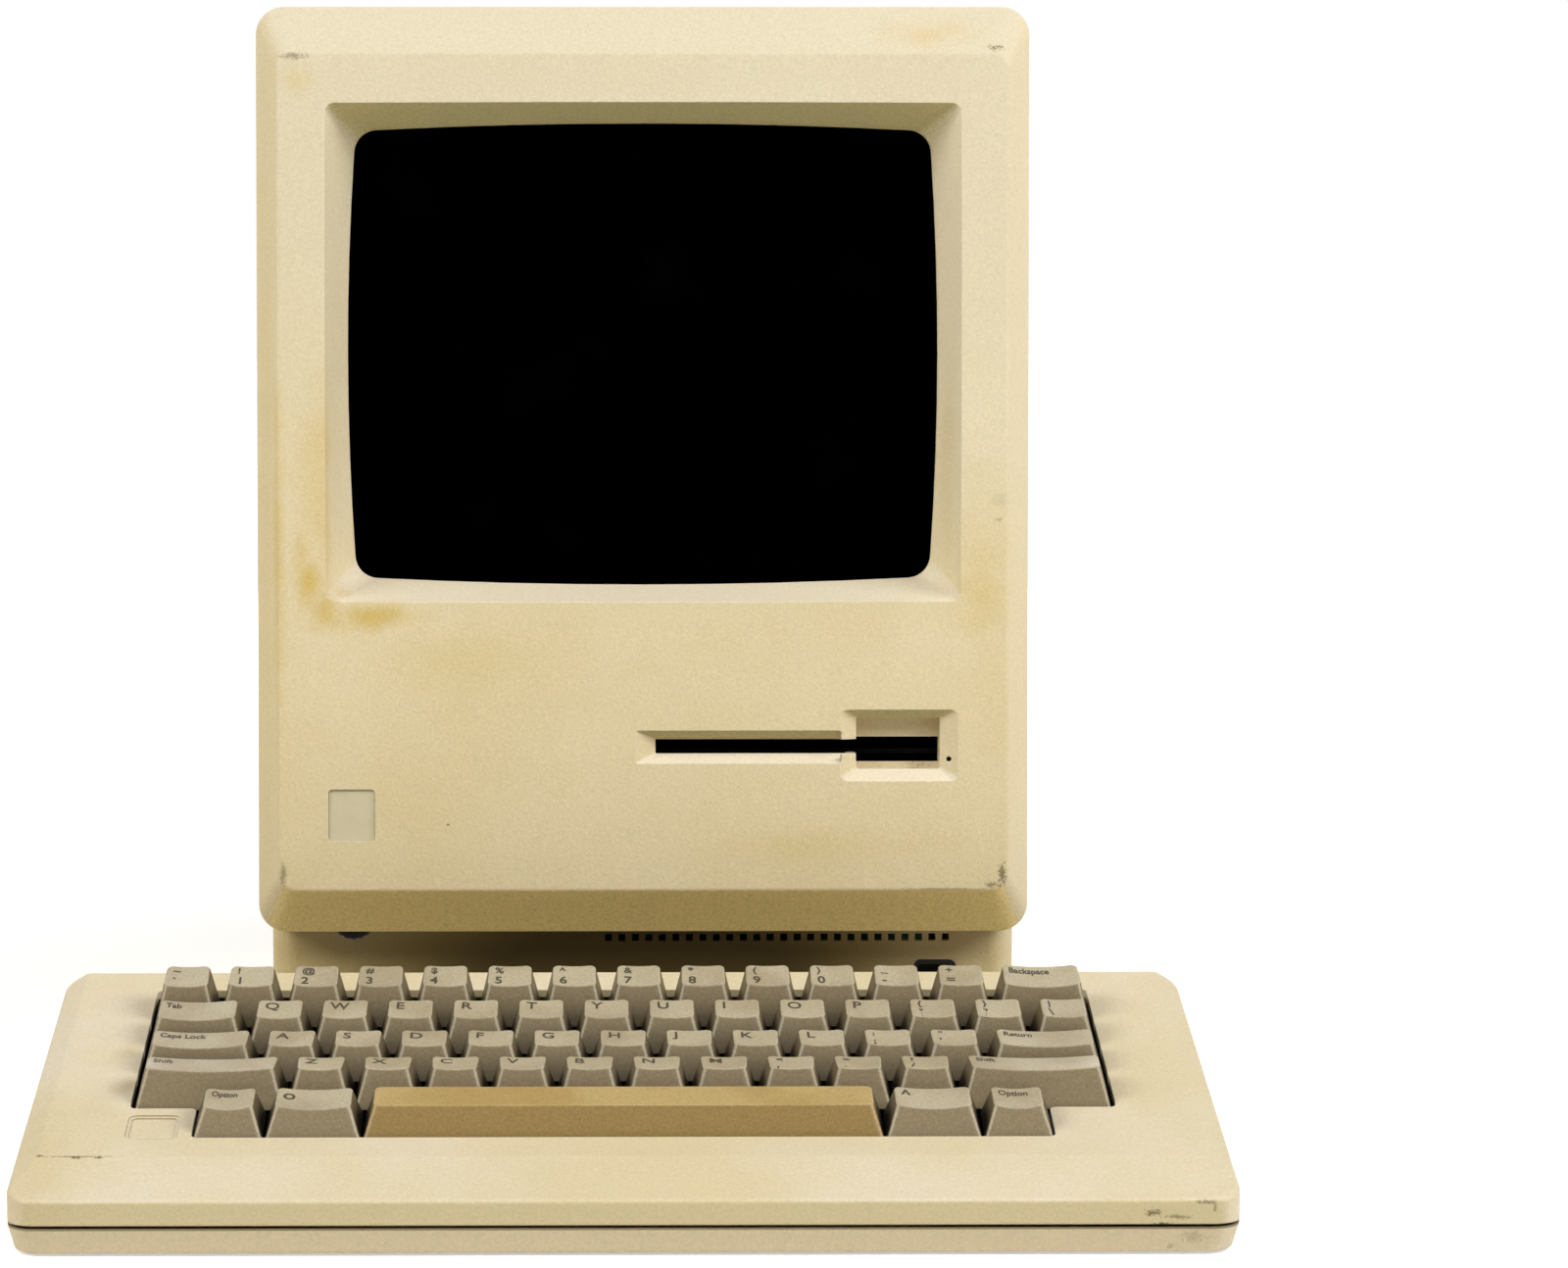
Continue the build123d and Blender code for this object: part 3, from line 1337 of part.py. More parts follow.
def key_places():
    """Every key: row, number in the row, middle across, width in units."""
    places = []
    for row, widths in enumerate(row_units):
        at = row_start[row] - board_units / 2
        for number, units in enumerate(widths):
            places.append((row, number, (at + units / 2) * pitch, units))
            at += units
    return places


def cap_form(units, height, inset):
    """A tapering block a little taller than the keycap, or its hollow."""
    width = units * pitch - key_gap
    depth = pitch - key_gap
    rise = height - cap_base_n
    reach = (rise + cap_spare) / rise
    side_in = cap_side_in * reach
    front_in = cap_front_in * reach
    rear_in = cap_rear_in * reach
    low = Pos(0, 0, cap_base_n) * RectangleRounded(
        width - 2 * inset, depth - 2 * inset, cap_base_r if inset == 0 else cap_inner_r)
    high = Pos(0, (front_in - rear_in) / 2, cap_base_n + rise * reach) * RectangleRounded(
        width - 2 * side_in - 2 * inset, depth - front_in - rear_in - 2 * inset,
        cap_top_r if inset == 0 else cap_inner_r)
    return loft([low, high], ruled=True)


def above_top(units, height, tilt, sag):
    """Everything above a tilted keytop with a lengthwise hollow of the given depth."""
    spot = Pos(0, (cap_front_in - cap_rear_in) / 2, height) * Rot(tilt, 0, 0)
    over = spot * Pos(0, 0, pitch) * Box(units * 2 * pitch, 3 * pitch, 2 * pitch)
    if sag > 0:
        half = (units * pitch - key_gap) / 2 - cap_side_in + dish_over
        r = (half * half + sag * sag) / (2 * sag)
        over += spot * Pos(0, 0, r - sag) * Rot(90, 0, 0) * Cylinder(r, 3 * pitch)
    return over


def keycap(row, units):
    """One hollow keycap with its stem, at the middle of its place on the deck."""
    height = row_height[row]
    tilt = row_tilt[row]
    sag = dish_u if units == 1 else dish_wide
    if units > flat_units:
        sag = 0
    cap = cap_form(units, height, 0) - above_top(units, height, tilt, sag)
    top_face = cap.faces().sort_by(Axis.Z)[-1]
    cap = fillet(top_face.edges(), radius=cap_edge_r)
    drop = cap_roof + sag
    hollow = cap_form(units, height, cap_wall) - above_top(units, height - drop, tilt, 0)
    cap -= hollow
    cap += block(-stem_x / 2, stem_x / 2, -stem_y / 2, stem_y / 2, stem_n, height - drop)
    return cap


def all_keys():
    """Keycaps by place, each distinct shape made once."""
    shapes = {}
    caps = {}
    for row, number, x, units in key_places():
        if (row, units) not in shapes:
            shapes[(row, units)] = keycap(row, units)
        caps[(row, number)] = deck.location * Pos(x, row_middle(row), 0) * shapes[(row, units)]
    return caps


def key_switches():
    """One switch body under each key: flange on the plate, slot for the stem."""
    bodies = []
    under = block(-switch_under_x / 2, switch_under_x / 2, -switch_under_y / 2, switch_under_y / 2,
                  plate_n - switch_depth, plate_n)
    lip_x = switch_under_x / 2 + switch_lip
    lip_y = switch_under_y / 2 + switch_lip
    flange = block(-lip_x, lip_x, -lip_y, lip_y, plate_n, plate_n + switch_flange)
    upper = block(-switch_x / 2, switch_x / 2, -switch_y / 2, switch_y / 2, plate_n, plate_n + switch_top)
    slot = block(-stem_x / 2 - GAP, stem_x / 2 + GAP, -stem_y / 2 - GAP, stem_y / 2 + GAP,
                 plate_n - switch_depth + switch_floor, plate_n + switch_top + 1)
    switch = under + flange + upper - slot
    for row, _, x, _ in key_places():
        bodies.append(deck.location * Pos(x, row_middle(row), 0) * switch)
    return bodies


def stabiliser_guides():
    """Small wire guides on the plate beside the switches of the widest keys."""
    guides = []
    for row, _, x, units in key_places():
        if units > guide_units:
            reach = (units * pitch - key_gap - guide_x) / 2
            for side in (-1, 1):
                mid = x + side * reach
                guides.append(on_deck(
                    mid - guide_x / 2, mid + guide_x / 2, row_middle(row) - guide_y / 2,
                    row_middle(row) + guide_y / 2, plate_n, plate_n + guide_h))
    return guides


def switch_plate():
    half = board_units / 2 * pitch + plate_margin + 2 * SCREW_R
    plate = on_deck(-half, half, key_row_front - WALL, well_rear + WALL, plate_n - plate_t, plate_n)
    for row, _, x, _ in key_places():
        plate -= on_deck(x - switch_under_x / 2 - FIT, x + switch_under_x / 2 + FIT,
                         row_middle(row) - switch_under_y / 2 - FIT,
                         row_middle(row) + switch_under_y / 2 + FIT,
                         plate_n - 2 * plate_t, plate_n + plate_t)
    for x, w in plate_boss_places():
        plate -= deck.location * Pos(x, w, plate_n) * Cylinder(SCREW_R + FIT, 4 * plate_t)
    return plate


def keyboard_board():
    half = board_units / 2 * pitch
    n1 = plate_n - switch_depth
    return on_deck(-half, half, key_row_front, key_row_front + field_d, n1 - BOARD, n1)


def keyboard_screws():
    """Screws that hold the plate up against its bosses."""
    screws = []
    for x, w in plate_boss_places():
        spot = deck.location * Pos(x, w, plate_n - plate_t)
        head = spot * Pos(0, 0, -SCREW_HEAD_H / 2) * Cylinder(SCREW_HEAD_R, SCREW_HEAD_H)
        screws.append(head + spot * Pos(0, 0, WALL / 2) * Cylinder(SCREW_R - FIT, WALL))
    return screws


def keyboard_jack():
    y1 = front_y + kb_depth - kb_wall / 2
    body = block(jack_x - jack_w / 2 + FIT, jack_x + jack_w / 2 - FIT, y1 - jack_d + kb_wall, y1,
                 kb_jack_z - jack_h / 2, kb_jack_z + jack_h / 2 - FIT)
    return body - block(jack_x - jack_hole_w / 2, jack_x + jack_hole_w / 2, y1 - jack_hole_d, y1 + 1,
                        kb_jack_z - jack_hole_h / 2, kb_jack_z + jack_hole_h / 2)


# ---------------------------------------------------------------- write every node
save("front_bezel", front_bezel())
save("rear_case", rear_case())
save("rubber_feet", *rubber_feet())
save("case_screws", *case_screws())
save("badge_plate", badge_plate())
save("brightness_knob", brightness_knob())
save("brightness_control", brightness_control())
save("keyboard_socket", keyboard_socket())
save("crt_tube", crt_tube())
save("crt_band", crt_band())
save("crt_screws", *crt_screws())
save("deflection_yoke", deflection_yoke())
save("crt_neck_board", crt_neck_board())
save("chassis_frame", chassis_frame())
save("analog_board", analog_board())
save("flyback_transformer", flyback_transformer())
save("logic_board", logic_board())
save("rear_ports", *rear_ports())
save("speaker", speaker())
save("drive_chassis", drive_chassis())
save("disk_holder", disk_holder())
save("drive_spindle", drive_spindle())
save("head_carriage", head_carriage())
save("power_inlet", power_inlet())
save("power_switch", power_switch())
save("power_rocker", power_rocker())
save("battery_door", battery_door())
save("battery", battery())
save("keyboard_top", keyboard_top())
save("keyboard_bottom", keyboard_bottom())
save("keyboard_feet", *keyboard_feet())
save("keyboard_jack", keyboard_jack())
save("switch_plate", switch_plate())
save("keyboard_board", keyboard_board())
save("keyboard_screws", *keyboard_screws())
save("key_switches", *key_switches())
save("stabiliser_guides", *stabiliser_guides())

caps = all_keys()
for place, name in wide_names.items():
    save(name, caps[place])
for name, (row, first, last) in key_groups.items():
    save(name, *[caps[(row, number)] for number in range(first, last + 1)])
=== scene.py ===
import json
import math

import bmesh
import bpy
from mathutils import Matrix, Vector
from mathutils.bvhtree import BVHTree


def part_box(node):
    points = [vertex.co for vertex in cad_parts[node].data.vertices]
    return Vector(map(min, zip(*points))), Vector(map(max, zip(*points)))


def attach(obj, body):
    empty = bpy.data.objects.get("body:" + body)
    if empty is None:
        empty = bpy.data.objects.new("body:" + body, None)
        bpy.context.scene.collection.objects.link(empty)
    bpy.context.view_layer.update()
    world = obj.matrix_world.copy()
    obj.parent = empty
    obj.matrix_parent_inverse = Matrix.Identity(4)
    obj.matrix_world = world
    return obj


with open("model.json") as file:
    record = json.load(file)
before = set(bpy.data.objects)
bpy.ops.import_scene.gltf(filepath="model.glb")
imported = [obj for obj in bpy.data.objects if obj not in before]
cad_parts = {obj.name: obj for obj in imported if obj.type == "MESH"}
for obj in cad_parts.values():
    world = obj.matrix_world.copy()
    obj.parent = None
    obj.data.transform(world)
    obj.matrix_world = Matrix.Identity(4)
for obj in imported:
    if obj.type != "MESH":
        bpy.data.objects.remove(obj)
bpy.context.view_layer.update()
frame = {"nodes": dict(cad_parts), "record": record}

# A compact beige computer and its keyboard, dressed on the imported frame.
# Sizes are millimetres in the frame's axes: +Z up, fronts towards -Y, +X to the user's right.

MM = 0.001
UP = Vector((0, 0, 1))

COMPUTER_X = 7.0              # middle of the computer
FACE_Y = -33.2                # foot of the face
FACE_Z = 53.0
FACE_TILT = 4.0
FRONT_Y = -243.8              # keyboard's front wall
CREASE_Y = 20.9               # crease between front slope and key deck, behind the front wall
CREASE_Z = 23.4
DECK_TILT = 12.95
REAR_Y = 243.8

KEY_PITCH = 19.05
CAP_BASE = 18.25              # a one-unit keycap at its base
TOP_SIDE = 2.8                # keytop's edge inside the base's edge
TOP_REAR = 1.5
FIRST_ROW = 22.03             # middle of the front row, from the crease
ROWS = {"space": 0, "bottom": 1, "home": 2, "upper": 3, "number": 4}


def metres(*values):
    """Millimetres as a vector in metres."""
    return Vector([value * MM for value in values])


def plane_at(origin, tilt):
    """A frame with X across, Y up the surface and Z out of it."""
    return Matrix.Translation(metres(*origin)) @ Matrix.Rotation(math.radians(tilt), 4, "X")


face = plane_at((COMPUTER_X, FACE_Y, FACE_Z), 90 - FACE_TILT)
deck = plane_at((0, FRONT_Y + CREASE_Y, CREASE_Z), DECK_TILT)
front_wall = plane_at((0, FRONT_Y, 0), 90)
rear_wall = (Matrix.Translation(metres(COMPUTER_X, REAR_Y, 0))
             @ Matrix.Rotation(math.pi, 4, "Z") @ Matrix.Rotation(math.pi / 2, 4, "X"))
deck_out = deck.to_3x3() @ UP
deck_back = deck.to_3x3() @ Vector((0, 1, 0))


# ---------------------------------------------------------------- finishes: helpers
PEBBLE = 1.4                  # grain of the moulds, coarser than real so that it shows
PEBBLE_FINE = 0.7
PEBBLE_DEPTH = 0.2


def srgb(code):
    """A hex colour as linear red, green, blue and alpha."""
    parts = [int(code[i:i + 2], 16) / 255 for i in (1, 3, 5)]
    linear = [p / 12.92 if p <= 0.04045 else ((p + 0.055) / 1.055) ** 2.4 for p in parts]
    return (*linear, 1.0)


def add(tree, kind, inputs=None, **settings):
    """Add a shader node with its inputs set or linked, and its own settings.

    A node given as an input is linked from its first output.
    """
    new = tree.nodes.new("ShaderNode" + kind)
    for name, value in settings.items():
        setattr(new, name, value)
    for key, value in (inputs or {}).items():
        if isinstance(value, bpy.types.Node):
            value = value.outputs[0]
        if isinstance(value, bpy.types.NodeSocket):
            tree.links.new(value, new.inputs[key])
        else:
            new.inputs[key].default_value = value
    return new


def new_material(name, **values):
    """A material with a Principled shader; values set its sockets."""
    material = bpy.data.materials.new(name)
    material.use_nodes = True
    tree = material.node_tree
    shader = tree.nodes["Principled BSDF"]
    for key, value in values.items():
        shader.inputs[key.replace("_", " ")].default_value = value
    point = add(tree, "TexCoord").outputs["Object"]
    return material, tree, shader, point


def lay(tree, colour, layers):
    """Tints laid over a colour in turn, each through the product of its masks and strengths."""
    for tint, mask, *factors in layers:
        for factor in factors:
            mask = add(tree, "Math", {0: mask, 1: factor}, operation="MULTIPLY")
        colour = add(tree, "Mix", {0: mask, 6: colour, 7: tint}, data_type="RGBA").outputs[2]
    return colour


def clouded(tree, point, tones, size, limits, detail=4.0, rough=0.6, strength=1.0):
    """Two tones of one finish: the second lies in clouds about size millimetres across."""
    cloud = add(tree, "TexNoise", {
        "Vector": point, "Scale": 1 / (size * MM), "Detail": detail, "Roughness": rough})
    mask = add(tree, "MapRange", {0: cloud, 1: limits[0], 2: limits[1]}, interpolation_type="SMOOTHSTEP")
    return lay(tree, srgb(tones[0]), [(srgb(tones[1]), mask, strength)])


def spots(tree, point, plane, marks, ragged, core):
    """Ellipses on a surface: across, up, out, three half sizes and strength, full inside the core."""
    turn = plane.to_3x3().inverted().to_euler()
    total = None
    for across, up, out, half_x, half_y, half_z, strength in marks:
        local = add(tree, "VectorMath", {0: point, 1: plane @ metres(across, up, out)},
                    operation="SUBTRACT")
        turned = add(tree, "VectorRotate", {"Vector": local, "Rotation": turn},
                     rotation_type="EULER_XYZ")
        scaled = add(tree, "VectorMath", {0: turned, 1: metres(half_x, half_y, half_z)},
                     operation="DIVIDE")
        far = add(tree, "VectorMath", {0: scaled}, operation="LENGTH").outputs["Value"]
        edge = add(tree, "Math", {0: far, 1: ragged}, operation="ADD")
        mask = add(tree, "MapRange", {0: edge, 1: 1.0, 2: core}, interpolation_type="SMOOTHSTEP")
        mask = add(tree, "Math", {0: mask, 1: strength}, operation="MULTIPLY")
        total = mask if total is None else add(tree, "Math", {0: total, 1: mask}, operation="MAXIMUM")
    return total


def moulded_grain(tree, point, shader, strength, normal=None):
    """The pebble grain that a spark-eroded mould leaves."""
    pebbles = add(tree, "TexVoronoi", {"Vector": point, "Scale": 1 / (PEBBLE * MM), "Smoothness": 0.8},
                  feature="SMOOTH_F1")
    fine = add(tree, "TexNoise", {"Vector": point, "Scale": 1 / (PEBBLE_FINE * MM), "Detail": 1.0})
    height = add(tree, "Math", {0: pebbles, 1: 0.6, 2: fine}, operation="MULTIPLY_ADD")
    bump = add(tree, "Bump", {"Strength": strength, "Distance": PEBBLE_DEPTH * MM, "Height": height})
    if normal is not None:
        tree.links.new(normal.outputs[0], bump.inputs["Normal"])
    tree.links.new(bump.outputs[0], shader.inputs["Normal"])


def speckle(tree, point, colour, size, depth):
    """Fine light and dark flecks in the pigment, as strong as depth."""
    flecks = add(tree, "TexNoise", {
        "Vector": point, "Scale": 1 / (size * MM), "Detail": 2.0, "Roughness": 0.7})
    fleck = add(tree, "Math", {0: flecks, 1: 0.5}, operation="SUBTRACT")
    gain = add(tree, "Math", {0: fleck, 1: depth, 2: 1.0}, operation="MULTIPLY_ADD")
    return add(tree, "VectorMath", {0: colour, "Scale": gain}, operation="SCALE").outputs[0]


# ---------------------------------------------------------------- finishes: colours, wear and painted shade
CASE_PALE = "#E8DABB"
CASE_DEEP = "#DFCFA7"
CASE_MOTTLE = "#D8C69A"
CASE_LOW = "#D8C592"          # the computer's lower half is yellower
CASE_UP = "#E0D3B8"           # a little darker and greyer where it faces up
CASE_HIGH = "#D4C8AA"         # duller towards the top
CASE_UNDERSIDE_SHADE = "#FBDE8F"        # painted shade: deep yellow on the downward faces under the chin
CASE_LIP_SHADE = "#C8BB87"          # painted shade under the upper borders of recesses
CASE_RUBBED_LIT_EDGE = "#F2E8D0"          # edges rubbed pale, with a painted highlight
CASE_CHEEK_LIGHT = "#EFE0BA"        # painted light on the right cheek of the screen's recess
CASE_SHADE = "#433302"        # painted shadow in the hollow under the chin
CASE_HALF_SHADE = "#B59C58"          # and softer painted shade round it
LEFT_CHAMFER_SHADE = "#D4C296"      # painted shade on the side chamfers, darker on the left than the right
RIGHT_CHAMFER_SHADE = "#DCCCA8"
BOARD_PALE = "#DBCDB1"        # the keyboard has yellowed less
BOARD_DEEP = "#D5C59F"
BOARD_FRONT_SHADE = "#CCBC92"       # painted shade on the keyboard's front-facing faces
BOARD_BASE_SHADE = "#D4C4A0"        # lighter on the lower shell
BOARD_SEAM_DIRT_SHADE = "#66532A"        # dirt and painted shade in the seam between its shells
BOARD_STEP_SHADE = "#A48C5C"        # painted shade round the step of its recess
# yellow stains, also painted shade on the base under the chin
STAIN_AND_SHADE = "#CDAF5B"
SMUDGE = "#B9A26C"
DIRT = "#574220"
# painted shade on the keys' left and right faces
KEY_FLANK_SHADE = "#5C4F37"
KEY_DUST_AND_SHADE = "#1C160D"         # dust and painted shadow low between the keys
KEY_SCUFF = "#4A3D28"
CASE_EDGE_R = 0.5             # how far in from an edge the rubbing and the painted highlight reach
CAP_EDGE_R = 0.6

# places on the face: across from its middle, up from its foot, out; half sizes; strength
STAINS_AND_BASE_SHADE = [
    (-108, 120, 0, 6, 17, 5, 0.6), (-105.5, 111.5, 0, 6.5, 15, 5, 0.95), (-101, 102, 0, 8.5, 11, 5, 0.75),
    (-86, 100.2, 0, 24, 7, 5, 0.9), (-80, 100.6, 0, 14, 5.5, 5, 0.8), (-97, 98.5, 0, 14, 7, 5, 0.5),
    (-101, 138, 0, 14, 56, 5, 0.45), (-116.3, 118, 0, 4.5, 80, 5, 0.6), (-121, 150, -4, 4.5, 190, 8, 0.32),
    (-97, 107, -5, 10, 8, 6, 0.35), (107.5, 106, 0, 13, 17, 5, 0.42), (102.5, 110, 0, 6, 8, 5, 0.35),
    (107, 119, 0, 15, 16, 5, 0.25), (-110, 270, 0, 8, 8, 5, 0.3), (90, 284, -6, 22, 7, 10, 0.4),
    (-60, 86, 0, 50, 14, 5, 0.2), (96, 150, -8, 7, 60, 12, 0.25), (60, 27, 0, 60, 9, 5, 0.25),
    # the last two darken the base's ends under the chin: painted shade
    (-112, -20, -30, 30, 45, 14, 0.4), (112, -20, -30, 30, 45, 14, 0.15),
]
FACE_DIRT = [
    (-110.5, 277, 0, 6, 1.6, 3, 0.55), (111.5, 279.5, -3, 4, 1.4, 4, 0.95), (-114.3, 18, 0, 1.5, 5, 3, 0.55),
    (114, 18, 0, 1.8, 5, 3, 0.75), (111, 14.6, 0, 4, 1.3, 3, 0.7), (-62, 33.9, 0, 0.7, 0.6, 2, 0.8),
    (112.6, 130.6, 0, 1.6, 1.1, 2, 0.35), (113, 137, 0, 3.5, 3.5, 2, 0.12), (88, 52.6, -6, 5, 1.4, 5, 0.8),
    (95, 13.2, 0, 16, 0.6, 2, 0.35), (86, 51.4, -7, 3, 1.0, 4, 0.5),
]
# painted shadow in the hollow under the chin, and softer painted shade round it
HOLLOW_SHADOW = [(0, -14, -28, 108, 30, 9, 0.97)]
HOLLOW_SHADE_EDGE = [(-6, -14, -28, 130, 44, 12, 0.8)]
# places on the key deck, up it from the crease
DECK_DIRT = [
    (-150, 0, 0, 13, 0.6, 1.5, 0.6), (-150.4, -0.5, 0, 2.2, 1.0, 2, 0.9), (-144, -0.4, 0, 1.8, 0.9, 2, 0.85),
    (-160.5, 0.5, 0, 1.3, 1.0, 2, 0.8),
]
DECK_SMUDGES = [
    (-141, 46, 0, 7, 9, 3, 0.6), (-143, 70, 0, 6, 8, 3, 0.3), (-148, 30, 0, 10, 12, 3, 0.15),
    (-161, 0, -5, 13, 50, 12, 0.3),
]
DECK_RECESS = [(-131.2, 18.6, 0, 12, 13, 3, 0.75)]
KEY_MARKS = [(-84.6, 16.6, 7.0, 1.5, 0.9, 0.9, 0.9), (-83.6, 16.0, 6.2, 1.2, 0.7, 0.6, 0.9)]
# places on the keyboard's front wall, up from the table
WALL_DIRT = [
    (143.5, 12.0, 0, 3.6, 1.1, 3, 0.8), (149.5, 11.0, 0, 4.6, 0.9, 3, 0.6), (157.5, 15.0, 0, 3.2, 0.9, 3, 0.65),
    (159.8, 13.6, 0, 0.9, 1.8, 3, 0.5), (145.5, 8.9, 0, 3.2, 0.9, 3, 0.9), (154, 5.0, 0, 4.5, 2.5, 3, 0.3),
    (148, 2.4, 0, 1.4, 1.0, 3, 0.4),
]


def aged_abs():
    """ABS moulded in a grained tool: dull and pebbly. Sunlight has yellowed it in soft patches. Shade is
    painted on its undersides, chamfers, front faces, seam and the hollow under the chin, and light on its edges
    and one cheek of the recess.
    """
    material, tree, shader, point = new_material("aged_abs", IOR=1.5, Specular_IOR_Level=0.3)
    patches, mottle, ragged, broken = [
        add(tree, "TexNoise", {
            "Vector": point, "Scale": 1 / (size * MM), "Detail": detail, "Roughness": rough})
        for size, detail, rough in ((70, 3.0, 0.5), (14, 3.0, 0.5), (9, 4.0, 0.5), (1.1, 5.0, 0.8))]
    ragged = add(tree, "Math", {0: ragged, 1: 0.5}, operation="SUBTRACT")
    broken = add(tree, "Math", {0: broken, 1: 0.47}, operation="SUBTRACT")
    broken = add(tree, "Math", {0: broken, 1: 3.4}, operation="MULTIPLY")

    across, back, up = add(tree, "SeparateXYZ", {0: point}).outputs
    away = add(tree, "Math", {0: across, 1: COMPUTER_X * MM}, operation="SUBTRACT")
    away = add(tree, "Math", {0: away}, operation="ABSOLUTE")
    true_normal = add(tree, "NewGeometry").outputs["True Normal"]
    rounded = add(tree, "Bevel", {"Radius": CASE_EDGE_R * MM}, samples=4)
    # how far the surface faces each way: 1 towards it, -1 away
    skyward, downward, forward, leftward, level, smooth = [
        add(tree, "VectorMath", {0: true_normal, 1: way}, operation="DOT_PRODUCT").outputs["Value"]
        for way in ((0, 0, 1), (0, 0, -1), (0, -1, 0), (-1, 0, 0), deck_out, rounded)]
    sideways = add(tree, "Math", {0: leftward}, operation="ABSOLUTE")

    # masks: 0 at the first limit and 1 at the second
    mask = {name: add(tree, "MapRange", {0: value, 1: low, 2: high}, interpolation_type="SMOOTHSTEP")
            for name, value, low, high in (
                ("deep", patches, 0.36, 0.66),
                ("computer", back, -60 * MM, -50 * MM),
                ("mottled", mottle, 0.45, 0.75),
                ("low", up, 330 * MM, 60 * MM),
                ("skyward", skyward, 0.12, 0.4),
                ("high", up, 110 * MM, 320 * MM),
                ("under", downward, 0.15, 0.6),
                ("above chin", up, 65 * MM, 80 * MM),
                ("edge", smooth, 0.995, 0.93),
                ("forward", forward, 0.85, 0.97),
                ("lower shell", up, 8.5 * MM, 7.8 * MM),
                ("seam foot", up, 7.4 * MM, 7.8 * MM),
                ("seam top", up, 9.3 * MM, 8.9 * MM),
                ("step", level, 0.96, 0.8),
                ("sideways", sideways, 0.3, 0.55),
                ("outside", away, 112 * MM, 116 * MM),
                ("right half", across, -50 * MM, 50 * MM),
                ("leftward", leftward, 0.3, 0.55),
                ("inside", away, 112 * MM, 108 * MM),
                ("by screen", up, 155 * MM, 165 * MM))}
    computer = mask["computer"]
    board = add(tree, "Math", {0: 1.0, 1: computer}, operation="SUBTRACT")
    case, shell, underside_shade, wall, chamfer_shade = [
        lay(tree, srgb(under), [(srgb(over), mask[name])])
        for under, over, name in (
            (CASE_PALE, CASE_DEEP, "deep"), (BOARD_PALE, BOARD_DEEP, "deep"),
            (CASE_UNDERSIDE_SHADE, CASE_LIP_SHADE, "above chin"), (BOARD_FRONT_SHADE, BOARD_BASE_SHADE, "lower shell"),
            (LEFT_CHAMFER_SHADE, RIGHT_CHAMFER_SHADE, "right half"))]
    dirt = spots(tree, point, face, FACE_DIRT, broken, 0.35)
    for plane, marks in ((deck, DECK_DIRT), (front_wall, WALL_DIRT)):
        more = spots(tree, point, plane, marks, broken, 0.35)
        dirt = add(tree, "Math", {0: dirt, 1: more}, operation="MAXIMUM")

    colour = lay(tree, shell, [
        (case, computer),
        (srgb(CASE_MOTTLE), mask["mottled"], 0.3),
        (srgb(CASE_LOW), mask["low"], 0.6, computer),
        (srgb(CASE_UP), mask["skyward"], computer),
        (srgb(CASE_HIGH), mask["high"], 0.75, computer),
        # painted shade on the computer's downward faces
        (underside_shade, mask["under"], computer),
        # edges rubbed pale, with a painted highlight where they catch light
        (srgb(CASE_RUBBED_LIT_EDGE), mask["edge"], 0.75),
        # painted shade on the keyboard's front-facing faces
        (wall, mask["forward"], board),
        # dirt and painted shade along the seam between the shells
        (srgb(BOARD_SEAM_DIRT_SHADE), mask["seam foot"], mask["seam top"], board, 0.75),
        # painted shade on the step walls of the deck's recess
        (srgb(BOARD_STEP_SHADE), mask["step"], spots(tree, point, deck, DECK_RECESS, 0.0, 0.8)),
        # painted shade on the computer's side chamfers
        (chamfer_shade, mask["sideways"], mask["outside"], computer, 0.75),
        # painted light on the right cheek of the screen's recess
        (srgb(CASE_CHEEK_LIGHT), mask["leftward"], mask["inside"], mask["by screen"], 0.45),
        # painted shadow under the chin, softer at its edge
        (srgb(CASE_HALF_SHADE), spots(tree, point, face, HOLLOW_SHADE_EDGE, 0.0, 0.5)),
        (srgb(CASE_SHADE), spots(tree, point, face, HOLLOW_SHADOW, 0.0, 0.4)),
        # yellow stains, and painted shade at the base's ends under the chin
        (srgb(STAIN_AND_SHADE), spots(tree, point, face, STAINS_AND_BASE_SHADE, ragged, -0.1)),
        (srgb(SMUDGE), spots(tree, point, deck, DECK_SMUDGES, ragged, 0.0)),
        (srgb(DIRT), dirt),
    ])
    depth = add(tree, "Math", {0: mask["under"], 1: 0.35, 2: 0.34}, operation="MULTIPLY_ADD")
    tree.links.new(speckle(tree, point, colour, 0.9, depth), shader.inputs["Base Color"])
    rough = add(tree, "Math", {0: mottle, 1: 0.16, 2: 0.45}, operation="MULTIPLY_ADD")
    tree.links.new(rough.outputs[0], shader.inputs["Roughness"])
    moulded_grain(tree, point, shader, 0.4, rounded)
    return material


